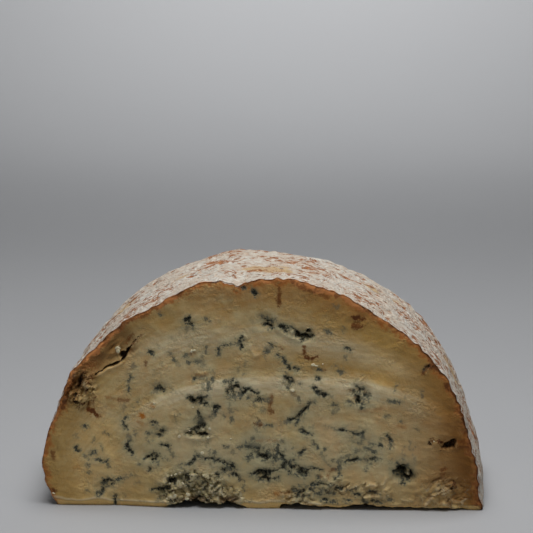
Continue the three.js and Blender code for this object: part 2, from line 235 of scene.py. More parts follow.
# Gaps under the front edge, where the foot has crumbled away: x and height of their outlines
FOOT_GAPS = [
    (-60, 0), (-56, 2.4), (-47, 5), (-38, 5.4), (-30, 4), (-20, 3.4), (-12, 2), (-7, 0), (13.4, 0),
    (14.6, 3.2), (22, 3.7), (30, 3.4), (36, 2.4), (42, 1.2), (50, 0.9), (55, 1.6), (62, 2.9), (70, 3.6),
    (78, 2.9), (90, 1.9), (100, 1.7), (110, 1.6), (120, 1.4), (130, 0.8), (138, 0),
]
# How deep the gaps reach in for each mm of their height
GAP_REACH = 2.4
# Recesses over the left gap, with painted brown shade in them: centre, half width, half height and depth in
# mm
FOOT_RECESSES = [(-19.5, 5.8, 9, 3.4, 2.2), (-42, 5.6, 15, 2.6, 1.4)]

# Folds where the soft paste tore: height, turn in degrees, and the heights between which they
# fade out upwards
CREASE_HEIGHT = 0.26
CREASE_TURN = -14
CREASE_HEIGHTS = (85, 60)
# The lower edge of the cut is pressed round: how far it draws back, up to what height, and
# how far the crest above it stands out
FOOT_ROUNDING = 1.4
FOOT_ROUNDING_HEIGHT = 4.4
FOOT_CREST = 0.45

# Blue mould on the broad cut: above the ledge, in the middle, below, at the left, and at both
# ends by the rind. Each mark is its half width in mm, its darkness, and the x and z of the
# points it runs through
MOULD_ABOVE = [
    (1.6, 1.0, -46.2, 124.6, -44.6, 125.4), (1.0, 0.9, -44.6, 124, -44.2, 123),
    (1.2, 1.0, -43.4, 121.8, -42.4, 121.6), (0.7, 0.6, -46.4, 121.8, -45.8, 121.6),
    (1.4, 0.35, -46.2, 118.4, -45.8, 115), (1.2, 0.5, -62, 127.6, -61, 127),
    (1.1, 0.5, -33.4, 125.6, -32.4, 124.8), (1.0, 0.4, -31.4, 124.8, -30.8, 124.2),
    (1.0, 0.8, -10, 145.4, -9, 144.8), (1.6, 0.85, -3, 143.5, -2.2, 141.5), (1.5, 0.2, -20, 138, -18, 137),
    (1.4, 0.3, 47, 134.8, 48.4, 134), (2.2, 0.2, -4.4, 124, -3.2, 122.4), (1.1, 0.4, 2, 127, 2.8, 126),
    (1.3, 0.75, 4.4, 125, 6, 124.2), (1.2, 0.7, 7.4, 123.8, 9, 123.2), (0.9, 0.4, 9.6, 123.6, 11, 123.8),
    (0.9, 0.75, 3, 121.8, 4, 122.2), (1.2, 0.85, 6, 121.9, 7.2, 121.2), (1.1, 0.8, 7.6, 120.6, 8.2, 119.4),
    (1.9, 1.0, 14.2, 120.2, 16, 119.8), (0.9, 1.0, 16.2, 118.2, 17.2, 116.6),
    (0.6, 1.0, 17.8, 120.2, 21.2, 119.2, 23.4, 117.8), (1.2, 1.0, 23.6, 117, 25, 114.6),
    (1.7, 1.0, 26, 114.2, 29.6, 114.6), (1.1, 1.0, 30.8, 117.8, 32, 118.2),
    (0.8, 0.9, 30.6, 113.4, 33, 113.6, 33.8, 115.4), (0.8, 0.8, 26.8, 111.8, 27.4, 111.4),
    (1.3, 0.5, 43.2, 117.8, 44.6, 117.4), (1.1, 0.35, 52.6, 119.2, 54, 118.4),
    (1.3, 0.65, 55.4, 107.2, 57, 106), (0.9, 0.4, 55.2, 101.4, 54.8, 99.6),
    (1.0, 0.6, -23.4, 108, -21, 108, -18.8, 108.2), (0.8, 0.4, -18.6, 108.2, -14, 109),
    (1.0, 0.85, -10.4, 113, -11.6, 111.6, -12.6, 110.4), (1.2, 0.9, -12, 110, -11.2, 107.4, -11, 106.4),
    (1.6, 0.4, -13.8, 110.4, -13.2, 108.8), (1.1, 0.6, -26.2, 105.2, -25.4, 104.4),
    (1.1, 0.6, -25.6, 103, -25.2, 102.2), (1.4, 0.45, -46.4, 101.4, -44.4, 101),
    (1.2, 0.5, -44.2, 97.2, -43, 96.8), (1.4, 0.5, -40, 97, -36.4, 97.2),
    (0.9, 0.35, -57.2, 102.4, -54.4, 99.2), (1.0, 0.65, -54.2, 99, -52.8, 97.4),
    (1.0, 0.25, -52.6, 97.2, -49.8, 94.8), (1.4, 0.7, -68.8, 102.6, -67.6, 101.6),
    (1.4, 0.35, -79.8, 93.8, -78.6, 93.2), (1.2, 0.65, 8.2, 108.2, 9, 107.6),
    (1.2, 0.55, 4.4, 104.8, 6, 104.4), (1.6, 0.3, 5.4, 106.8, 7, 106), (1.0, 0.6, 11.6, 102.4, 15.4, 100.4),
    (1.1, 0.7, 15.4, 100.4, 17.3, 97, 18.8, 95.6), (1.3, 0.95, 19, 94.4, 19.2, 93.2),
    (0.9, 0.85, 22.8, 93.8, 25, 92.4), (1.0, 0.65, 38.2, 92.8, 39, 92.4), (1.3, 0.65, 36.4, 87.6, 38, 87.2),
    (1.0, 0.35, 47.6, 95.8, 48.2, 95), (1.3, 0.45, 51, 92.2, 52.4, 91.2),
    (0.9, 0.25, -13.4, 93.6, -12.8, 91), (0.9, 0.2, -15.4, 89, -14.6, 87.4),
]
MOULD_MIDDLE = [
    (1.3, 0.7, -63.8, 81.4, -63, 80.2), (1.2, 0.75, -66.2, 78.6, -63.8, 78.4),
    (1.2, 0.95, -62.6, 79.2, -61.4, 77.4), (1.3, 0.3, -67.4, 77.2, -66.8, 76.6),
    (1.1, 0.7, -41.2, 86.2, -40.2, 86.2), (1.1, 0.55, -29.2, 85.6, -31.2, 84.6, -32, 81, -32.6, 78.4),
    (1.2, 0.3, -35.6, 87, -35.2, 83.6), (1.3, 0.3, -29.6, 91.4, -28.8, 90.4),
    (1.0, 0.7, -21.6, 84.4, -21.3, 83.2), (1.1, 0.85, -17.2, 85.4, -16.6, 84.4),
    (1.3, 1.0, -16.2, 81.2, -14.6, 81.8, -13.6, 81), (0.9, 0.9, -17, 79.4, -16.9, 77.2, -15.9, 75.6),
    (1.0, 0.85, -20.2, 78, -19.9, 76.2), (0.8, 0.8, -19.8, 79, -17.6, 81),
    (1.0, 0.55, -18.2, 74, -17.4, 73.2), (1.0, 0.3, -18.4, 73, -18, 66), (1.1, 0.35, -18, 66.4, -18, 64.6),
    (1.3, 0.45, -17.6, 60.4, -17.8, 58), (1.2, 1.0, -10.2, 77.4, -9, 78.4),
    (1.4, 1.0, -8.4, 79.6, -6.6, 79.6), (0.9, 0.85, -6.6, 79.4, -3.6, 78, -0.6, 76.8),
    (1.1, 0.5, -6.2, 75.2, -6.1, 73.4), (1.1, 0.75, -1.4, 73.2, 1.4, 72.6), (1.3, 0.45, 3.6, 73.6, 6.4, 73),
    (1.6, 0.3, 3, 66.8, 3.4, 65.6), (1.3, 0.55, -12.6, 76.4, -10.8, 75.4), (0.8, 0.6, 4, 56.2, 7.4, 56),
    (1.5, 1.0, -45, 73.4, -42.6, 72.2, -40.8, 71.2), (1.0, 0.9, -44.8, 73.8, -42, 73.6),
    (1.7, 0.9, -39, 73.6, -36.6, 73.2), (1.3, 0.85, -37.6, 72.4, -36.8, 71.6),
    (0.8, 0.85, -36.6, 74.2, -33, 74.3), (1.1, 0.75, -37, 69.9, -34.4, 69.7, -33.2, 70.2),
    (1.6, 0.85, -28.6, 67.4, -26, 67), (1.2, 0.7, -26.8, 66, -27.6, 63.4), (1.2, 0.4, -28, 62.6, -30.6, 61),
    (1.0, 0.85, -38.2, 64.4, -37.4, 62.2, -37.6, 60.6), (2.4, 0.5, -37, 60, -36.4, 56.6),
    (1.8, 0.9, -41.4, 52.4, -39, 53.8, -36.4, 54.4), (1.4, 0.85, -38.6, 55.8, -35.2, 55),
    (1.4, 0.7, -43, 52, -41, 52.6), (1.2, 1.0, -45.4, 50.2, -44.6, 49.8),
    (1.0, 0.85, -38, 49.2, -36.2, 48.6), (1.2, 0.9, -35.4, 49.6, -33, 49.4),
    (1.3, 1.0, 16.8, 87.2, 18, 86.6), (1.1, 0.75, 20.6, 86.4, 21, 84.8), (0.7, 0.85, 18.4, 84.4, 19, 82.8),
    (1.1, 0.5, 18, 80.6, 18.4, 79), (1.2, 0.4, 25.6, 84.4, 26.4, 83.6), (1.2, 0.4, 25.2, 75, 25.4, 72),
    (1.2, 0.95, 32.7, 71.2, 31.4, 69.2, 29.9, 67.2), (1.0, 0.85, 30, 67.2, 28.4, 64.6, 26, 62),
    (0.8, 0.9, 28.8, 66.4, 26.2, 63.6, 24.2, 61.6), (1.1, 0.85, 24, 61.2, 21, 59.9, 19.6, 59.6),
    (1.5, 0.4, 19, 59, 16.6, 58), (1.2, 0.6, 25.4, 60.4, 24.8, 57.4), (1.2, 0.65, 27.2, 53.2, 28.8, 52.2),
    (1.2, 0.85, 28.8, 52, 30.6, 51.2), (0.7, 0.6, 30.8, 51.2, 33.5, 50.4),
    (1.0, 0.75, 35, 81.2, 37.2, 79.6), (1.6, 0.7, 36.6, 78.4, 39, 77.2),
    (1.5, 0.95, 39.8, 77.2, 42.4, 76.4), (1.0, 0.3, 43, 76.6, 46.4, 75.6),
    (0.9, 0.9, 37, 79.8, 39.6, 78.4, 40.2, 77), (1.2, 0.35, 35.4, 73, 36.4, 72.2),
    (1.2, 0.75, 47.7, 70.3, 48.6, 69), (1.4, 0.35, 47.8, 66.4, 47.6, 65),
    (0.9, 0.5, 56, 72.6, 58, 72, 58.8, 70.8), (1.5, 1.0, 62.2, 73, 63, 72),
    (1.2, 0.85, 62.6, 75.6, 63.6, 74.8), (1.0, 0.7, 63.4, 80.4, 63.9, 79.4), (0.9, 0.6, 62, 82.4, 63, 81.2),
    (1.0, 0.8, 66.6, 77, 67, 75.8), (1.0, 0.7, 68.2, 75.8, 69, 75), (1.0, 0.7, 65, 69.6, 65.6, 68.4),
    (0.8, 0.5, 66, 71, 66.6, 70.2), (1.0, 0.5, 82.4, 72.6, 86, 72.4, 88.8, 72.3),
]
MOULD_BELOW = [
    (1.3, 0.3, -3.6, 47.8, -5.4, 44.6), (1.0, 0.7, -7.2, 41.8, -4.6, 40.4), (2.2, 0.3, -4, 44, -1, 42.6),
    (1.2, 0.85, 0, 41.2, -0.6, 37.4, 1, 35.4), (1.5, 0.9, 1, 35.4, 3.4, 35.2, 5.6, 34.6),
    (1.1, 0.6, -7.6, 34.4, -4.6, 35.6), (0.9, 0.5, -6.4, 33.2, -5.4, 32.4),
    (1.5, 0.6, 12.2, 42.6, 11.8, 38, 11, 34), (1.2, 0.9, 13.2, 38, 15, 36),
    (1.1, 0.85, 15, 36, 16.6, 33.4, 17.6, 32), (1.1, 0.95, 17.4, 32, 15.9, 29.8, 16.3, 28.2),
    (0.7, 0.85, 16.2, 28, 13.8, 26.6, 10, 26, 8, 26), (0.7, 0.7, 17, 28, 19, 26.4, 20, 24.6),
    (1.0, 0.9, 17.6, 32, 19.6, 29.8, 20.6, 28.6, 23.4, 29.2, 25.4, 28.6), (0.9, 0.6, 20.2, 30, 22, 33.2),
    (1.2, 0.9, 20.6, 28.4, 22.2, 28.2), (1.5, 1.0, 26.8, 26.6, 27.2, 25),
    (0.9, 0.85, 25.4, 28.4, 27.4, 27.6, 28, 26), (1.2, 0.7, 25.4, 24, 28.4, 23),
    (1.1, 0.85, 29, 24.6, 31.4, 26.2), (0.8, 0.75, 31.4, 26.2, 34.4, 27.4, 38, 27.4, 40.8, 26.4),
    (1.1, 0.75, -5.2, 23.4, -4.6, 23), (1.2, 0.85, -3.4, 23.6, -0.4, 24.8),
    (1.5, 0.95, 0, 24.6, 3.6, 25.2, 7, 25.4), (1.6, 1.0, 3.6, 25, 4, 21.4), (1.4, 0.95, 3.8, 21, 6.4, 19.4),
    (1.0, 0.7, 0, 19.8, 3, 20.8), (1.0, 0.75, 6.2, 23.8, 6.9, 22.4), (0.9, 0.8, 10.4, 20.4, 12.4, 21),
    (0.9, 0.85, -28.6, 32.6, -25, 32, -22.6, 31.4, -20, 29.4, -17, 28.4),
    (1.1, 0.85, -16.8, 28.4, -15.9, 26.6, -16.6, 24.4), (1.2, 0.9, -23.4, 26.4, -22, 25.6),
    (1.8, 0.4, -20, 27, -18, 25), (1.0, 0.65, -27, 22.8, -25.8, 22.2),
    (1.0, 0.8, -15, 22.8, -13, 20.6, -11.8, 19), (0.7, 0.5, -10, 16.4, -9.8, 12),
    (0.8, 0.5, -22.4, 41.6, -21, 41), (0.9, 0.5, -19.4, 41.2, -18.6, 40.8),
    (0.9, 0.5, -12.8, 41, -10.6, 41.8), (1.2, 0.3, -17, 39, -16.6, 38), (1.2, 0.5, -28.4, 37.6, -28, 37),
    (1.1, 0.6, 34.4, 46.4, 34.8, 45.8), (0.9, 0.6, 35.4, 43.8, 37, 42), (1.0, 0.5, 41.4, 41.8, 41.8, 41),
    (1.0, 0.3, 40.4, 37.8, 42, 36.2), (1.0, 0.25, 42, 33.4, 42.4, 32), (1.2, 0.9, 26.2, 37.2, 27, 36.6),
    (0.9, 0.7, 27, 37.6, 28.2, 39.4, 29.8, 40.6), (1.0, 0.95, 51, 54, 54.4, 54),
    (0.8, 0.75, 54.4, 54, 58, 52.6, 61, 51.4, 64, 51.8), (0.8, 0.3, 48, 53.4, 50.8, 54),
    (1.3, 0.7, 66.6, 52.4, 66.4, 49.6), (1.0, 0.5, 59, 49, 59.2, 48.2), (0.9, 0.4, 63, 45.6, 64.8, 44),
    (1.1, 0.95, 56.4, 33, 59, 33, 62.4, 34.2), (1.1, 0.35, 56, 36, 60, 37.4, 64.6, 40.6),
    (0.6, 0.4, 63, 34, 70, 34.2), (1.3, 0.3, 53, 34.6, 55.4, 33.6), (1.3, 0.8, 71.2, 34, 73.4, 34.8),
    (1.0, 0.75, 73.4, 34.8, 74.8, 33.4), (0.7, 0.4, 75, 33.6, 77, 34.2),
    (1.1, 0.5, 69, 33, 68.6, 29, 68.2, 26.8), (1.0, 0.6, 69.4, 42, 71.8, 40.2, 73.6, 38.4),
    (0.9, 0.7, 70, 39.8, 71, 39.2), (1.1, 0.7, 77.2, 43.4, 77.8, 43), (0.7, 0.3, 77.6, 48, 77.6, 44.6),
    (1.0, 0.85, 81.4, 50, 82.4, 48.4, 83.6, 46.6), (0.7, 0.5, 83.6, 46.4, 84, 42),
    (1.2, 0.5, 51.6, 33, 51.6, 28.6, 51.2, 25.6), (0.7, 0.7, 49, 20.8, 51.4, 23.6),
    (1.2, 0.4, 45, 17, 47.6, 18), (0.9, 0.9, 33.2, 17.4, 36.6, 17.2, 40.6, 17.6),
    (1.1, 0.7, 32.6, 14, 34.6, 12.8), (0.8, 0.55, 34.6, 12.8, 36, 11.4, 39, 10.4),
    (1.6, 0.8, 50, 14.4, 52.4, 14), (1.2, 0.8, 62.4, 10.4, 63.8, 10.2),
    (0.8, 0.6, 70, 12.6, 74, 12, 77, 11), (1.1, 0.5, 84, 7.8, 85, 6.8), (1.4, 0.5, 67.2, 6.2, 68.4, 5),
    (1.1, 0.5, 26, 15.4, 25.2, 13), (1.2, 0.85, 26, 12, 25.4, 9), (1.0, 0.8, 28, 12.6, 28.8, 12),
    (0.9, 0.6, 28.4, 9.4, 28.8, 8.8), (1.0, 0.5, 22.4, 14, 22.8, 13), (0.9, 0.8, 41, 6.8, 43.6, 6.8),
    (0.8, 0.6, 46, 6, 49, 5), (1.0, 0.6, 55, 6.6, 60, 5.6), (0.8, 0.6, 73, 6.4, 80, 5.8),
    (1.1, 0.5, 43, 12, 48, 11.2), (0.7, 0.5, 57, 13, 62, 14.4),
]
MOULD_LEFT = [
    (0.7, 0.6, -81.8, 87, -82.6, 81, -83.3, 76), (1.0, 0.6, -82.2, 87.4, -81.6, 86.2),
    (1.0, 0.75, -69.4, 57, -66, 56.8), (1.3, 0.3, -86.4, 67.8, -85.8, 65.8),
    (0.8, 0.6, -84.8, 59.6, -86.2, 58.8, -86.5, 56), (1.1, 0.75, -86, 54.6, -84.8, 53.2),
    (1.0, 0.35, -83.6, 48.4, -82.8, 46), (0.8, 0.6, -81.8, 44.4, -83, 42.8),
    (1.2, 0.95, -83.8, 41.8, -84, 39.2), (1.5, 0.95, -83, 38, -81.2, 36.4),
    (1.1, 0.65, -111.6, 53.6, -110.4, 53.2), (1.0, 0.25, -117.4, 47.4, -117.2, 45.8),
    (1.3, 0.75, -117.2, 39, -115.6, 37.4), (1.0, 0.9, -108, 34.8, -107, 35.2),
    (0.8, 0.6, -106.6, 35.4, -105, 36.2), (1.0, 0.5, -110.8, 32.8, -109.8, 32),
    (0.9, 0.7, -104.2, 31.1, -101, 30.5, -97.6, 29.6), (1.0, 0.4, -96.8, 27.4, -96, 26),
    (0.9, 0.4, -110.4, 27.6, -109.4, 27), (0.9, 0.4, -109.2, 23, -108.4, 22.6),
    (0.9, 0.85, -99.4, 16.4, -97.6, 17.6, -95.6, 18.2), (0.9, 0.8, -95, 17.6, -93.8, 16.4, -94.6, 14.6),
    (0.8, 0.6, -98.8, 15.6, -97.8, 13.8), (1.1, 1.0, -103.9, 8.9, -103.3, 8.5),
    (0.9, 0.65, -100.4, 13.2, -101, 10.4, -101.8, 7.8), (0.8, 0.6, -90.4, 18.2, -88, 18.3),
    (0.6, 0.3, -87, 19, -82.4, 20.8, -80, 21), (1.1, 0.85, -92.8, 6.4, -93, 3.4, -93.1, 1),
    (1.2, 0.8, -61.4, 53, -60.8, 51.6), (0.9, 0.6, -63.4, 51.2, -62.4, 51.4),
    (1.2, 0.75, -64.6, 48.8, -63, 47.8), (0.9, 0.5, -70.6, 49.8, -69.6, 49.4),
    (1.0, 0.3, -69, 44.8, -68, 44.6), (1.0, 0.85, -61.8, 42.2, -60, 41.4, -57.6, 41),
    (1.2, 0.4, -57.4, 39.6, -56, 37.4, -54, 35.2), (1.1, 1.0, -71.4, 33.6, -69.6, 33.9),
    (1.0, 0.85, -69, 34.8, -66, 35.8), (1.0, 0.8, -66, 35, -66.4, 32.6),
    (0.9, 0.75, -66.6, 31.8, -68.4, 31.4), (0.8, 0.6, -73.2, 32.2, -72, 32.8),
    (0.9, 0.4, -76.8, 29.6, -76, 29.2), (1.0, 0.8, -69.8, 26, -69.4, 24.8),
    (1.4, 1.0, -57.2, 18, -54, 18.6), (0.9, 1.0, -68.4, 11.7, -65, 12.2),
    (1.3, 1.0, -64, 12.2, -59.4, 12.8), (0.8, 0.9, -58.6, 11.4, -58.4, 13.6),
    (1.0, 0.8, -47.8, 25, -47.2, 24.2), (1.2, 0.85, -45.6, 22, -45, 21.2),
    (1.1, 0.9, -44.8, 19.6, -44.2, 18), (1.0, 0.8, -45.4, 16, -44.6, 14.6),
    (1.0, 0.7, -53.6, 16.6, -53.2, 15.2), (0.9, 0.6, -50, 18.6, -48.6, 18),
    (0.8, 0.4, -37.6, 15, -36.6, 17.6, -34, 17), (1.0, 0.5, -34.4, 15, -35.4, 13),
    (1.2, 0.5, -28.4, 14.4, -26.4, 13.2), (0.8, 0.85, -38.2, 7, -37.8, 4.6),
    (1.1, 0.8, -33.6, 6.4, -32.6, 5), (1.4, 0.8, -56, 5, -54.2, 4.6), (0.8, 0.6, -50, 29.2, -45.4, 29.3),
    (1.2, 0.9, -43.8, 29.8, -42.4, 31, -41.2, 32.6), (1.0, 0.65, -41, 33.4, -40, 35.4, -37, 34.6),
    (1.0, 0.75, -37, 34.4, -33, 33.6, -28.8, 33.2),
]
MOULD_ENDS = [
    (1.0, 0.95, 108.4, 45.4, 109.2, 44.9), (1.0, 0.55, 109.8, 48.2, 110.4, 47.4),
    (1.1, 0.6, 114, 47, 116, 45.8), (0.9, 0.9, 116, 42.4, 118.6, 42.6), (2.0, 1.0, 119, 43.4, 123, 44.4),
    (1.2, 1.0, 122, 45.8, 123.8, 46.6), (1.0, 0.9, 124, 46.6, 123.8, 42.4),
    (0.8, 1.0, 104.6, 93.8, 107.8, 96), (1.0, 0.65, 132.4, 53.4, 133.2, 52),
    (1.0, 0.6, 124, 19.4, 125, 18.2), (0.9, 0.9, 122.8, 15.2, 125.2, 15.6), (1.0, 1.0, 85.6, 26.6, 89, 27),
    (1.4, 1.0, 88.8, 30, 89.6, 27), (2.6, 1.0, 90.4, 28.2, 91.6, 26.4), (1.0, 1.0, 91.4, 30.2, 93.4, 29.6),
    (0.9, 0.6, 93.4, 28.4, 95.4, 28.8), (0.9, 0.75, 95.6, 28.6, 97.2, 26, 97.8, 23.2, 96.4, 21.2),
    (0.9, 0.85, 91.6, 23.6, 93.4, 22.2, 96.4, 21), (1.1, 0.95, 91.4, 18.4, 92.4, 18.6),
    (0.8, 0.5, 91, 23.4, 91.6, 19.6), (0.9, 0.5, 88, 32.2, 89, 31), (0.9, 0.35, 91.2, 34.6, 91.8, 34.2),
    (0.9, 1.0, -112.3, 88, -113.3, 84.4), (1.6, 1.0, -113.2, 85, -115.2, 79.8),
    (1.2, 1.0, -116.2, 75, -118, 71.7), (1.4, 0.95, -116.7, 70.3, -115.8, 69.6),
    (0.9, 0.5, -112.2, 68.8, -111, 68.6), (0.8, 0.6, -105.2, 74.9, -104.8, 73.6),
    (0.8, 0.6, -114.8, 66, -114.4, 65.4), (1.1, 0.5, -108, 84, -107, 85.6),
    (1.0, 0.5, -110, 77.4, -108.8, 78.4),
]

# Knots of the mould: centre x, z, reach in mm, darkness and number of short marks
MOULD_KNOTS = [
    (-98, 14.6, 3.4, 0.6, 5), (-19, 25.6, 4, 0.8, 13), (2.6, 22.4, 4.2, 0.7, 12), (27, 25.6, 4, 0.65, 9),
    (0.6, 37, 5.4, 0.85, 14), (13.4, 36, 4.4, 0.8, 11), (65, 76.2, 5.2, 0.7, 20), (19.4, 83.6, 3.4, 0.6, 7),
    (-14.6, 78, 5, 0.65, 15), (-38, 57, 4, 0.6, 10), (-39, 72.4, 4.2, 0.5, 5), (-32.6, 82.4, 3.6, 0.35, 7),
    (6, 122.8, 4, 0.4, 6), (-40, 98.6, 5.4, 0.25, 7), (-66, 49, 5, 0.3, 6), (71, 41, 5, 0.5, 11),
    (69.6, 31, 4, 0.35, 6), (-4, 43, 5, 0.7, 9), (-46, 14, 14, 0.4, 7), (-24, 9, 9, 0.4, 5),
    (-44, 27, 6, 0.4, 7), (36, 14, 7, 0.85, 11), (26.6, 10.6, 3.6, 0.8, 5), (92, 25.4, 5, 0.5, 7),
    (-107, 32, 4.4, 0.35, 6), (20, 36, 8, 0.3, 8), (64, 47, 6, 0.4, 8),
]

# Share of the marks' given half widths that is their solid part; the rest is their soft edge
MARK_THICKNESS = 0.78
# How many mm from a mark its darkness is still felt, and how far its blue-green stain reaches
MARK_REACH = 8.0
HALO_REACH = 6.5
# Stray specks and threads of mould: how many, and the part of the cut that has them, in mm
STRAY_MARKS = {"count": 150, "seed": 17, "half_width": 112, "low": 4, "high": 122, "reach": 122}
# Where few of them are: right of this x and above this height, with the share left out there
STRAY_FREE = (55, 84, 0.8)
KNOT_SEED = 41

# Rust and brown stains: half width, strength, orange share, then the points' x and z
STAINS = [
    (1.3, 0.8, 0.1, 12.7, 141.7, 12.2, 138, 12.9, 134.8), (0.7, 0.7, 0.1, 12.6, 147, 12.7, 142),
    (1.4, 0.5, 0.1, 26.5, 146, 30, 144.6, 34, 143.6), (1.3, 0.5, 0.1, 38, 141.8, 43, 139.4),
    (1.2, 1.0, 0, 60.6, 127.2, 65.4, 126.6), (1.2, 1.0, 0, 60.4, 122.8, 62.6, 122.6),
    (1.0, 0.9, 0, 61.4, 121.2, 64.6, 121), (1.0, 0.7, 0.1, 59.4, 121.8, 59.2, 120.6),
    (1.6, 0.6, 0, 65, 134, 67, 132.6), (2.1, 1.2, 0.2, -108.4, 64.6, -106, 63.2),
    (1.6, 1.1, 0.15, -105, 62.4, -102.8, 60.6), (0.8, 0.45, 0.4, -96, 73.2, -92, 72),
    (1.0, 0.5, 0, -89.4, 71.4, -86, 70.9, -83.4, 71.2), (0.9, 0.75, 0, -71.8, 95.6, -71.4, 94.2),
    (1.0, 0.5, 0.9, -43.6, 102, -41.4, 101.8), (0.7, 0.5, 0.6, -39.4, 88.4, -36, 88.2, -32.6, 89),
    (0.9, 0.85, 0.2, 28.4, 107.4, 29, 102.8), (1.0, 0.9, 0, 29.4, 101.4, 31.8, 99.6, 34.4, 99.8, 36.6, 101),
    (1.0, 0.75, 0, 40, 92.8, 41.2, 92.8), (0.7, 0.4, 0.8, -0.6, 45.8, 11.5, 45.8),
    (0.8, 0.6, 0.1, 45.4, 25.4, 47.6, 27, 49.8, 27), (0.7, 0.7, 0.4, 44.4, 23.6, 44.4, 21),
    (1.1, 0.6, 0.1, 38.4, 22.2, 39.6, 21.8), (0.8, 0.4, 0.1, 14.4, 106.6, 15.6, 106.2),
    (0.9, 0.6, 0.6, 10.6, 10.6, 15, 10.8, 20, 11.4), (1.7, 1.0, 0.9, -74.8, 61.6, -74, 60.6),
    (1.0, 0.5, 0.7, -76.8, 57.8, -76.4, 57.2), (0.9, 0.5, 0.9, -74.8, 56.6, -74.4, 56.2),
    (1.1, 0.9, 0.9, -67.6, 68, -66.8, 67.6), (1.4, 0.3, 0.8, -118, 26, -116, 26),
    (1.3, 0.6, 0, -132.2, 35.4, -132, 32), (1.3, 0.8, 0, -132.6, 10.4, -132, 9.4),
    (1.0, 0.75, 0.3, 8.2, 76, 7.8, 72.4, 7, 69, 6.8, 66, 8.6, 64.4), (1.0, 0.9, 0.1, -1.8, 56.6, 1.2, 56.2),
    (0.8, 0.4, 0.2, -0.3, 60, -0.3, 57.4), (0.8, 0.4, 0.2, 21.9, 77.6, 25, 75),
    (1.0, 0.75, 0.1, 82.2, 48.2, 83.6, 46.2), (1.4, 0.4, 0.8, 88.8, 57, 92, 56.4),
    (1.1, 0.6, 0, 60.6, 75.6, 62.4, 74.8), (0.9, 0.5, 0, 57.8, 80, 58.6, 79.4),
    (0.9, 0.5, 0.1, 67, 79, 68, 78.2), (1.0, 0.6, 0.2, 116.4, 26.8, 118.6, 28),
    (1.0, 0.55, 0.3, 116.6, 24, 118, 24.2), (0.8, 0.4, 0.3, 116.6, 21.6, 117.6, 21.4),
    (1.2, 0.9, 0.3, 126.6, 46.4, 130, 46.8, 134.6, 45), (0.8, 0.8, 0.1, 127, 43, 131, 43.6, 134.6, 42.4),
    (1.0, 0.6, 0.1, 123.8, 94, 125, 96.4, 126.2, 98), (1.1, 0.3, 0.6, -96, 68, -92, 66),
    (2.4, 0.75, 0, -118.6, 87, -121.6, 79, -123.8, 72.7, -125.8, 67), (2.0, 0.4, 0.1, -112, 92, -106, 95),
    (1.2, 1.0, 0.2, 103.4, 91.4, 105.4, 94.4, 108.4, 96.4, 110.4, 94.6),
    (1.7, 0.85, 0, 118.4, 83.8, 120.6, 80), (0.5, 0.7, 0.1, -84, 108, -79.9, 114.4),
    (0.5, 0.6, 0.1, -83, 104.5, -75, 113), (1.3, 0.75, 0.1, 95, 114.4, 98, 112),
    (1.5, 0.75, 0, 102.6, 108, 105, 105), (1.0, 0.4, 0.5, 64.6, 66, 71, 66.6, 78.8, 68.2),
    (1.6, 0.5, 0, -75.6, 126.4, -70, 129),
]
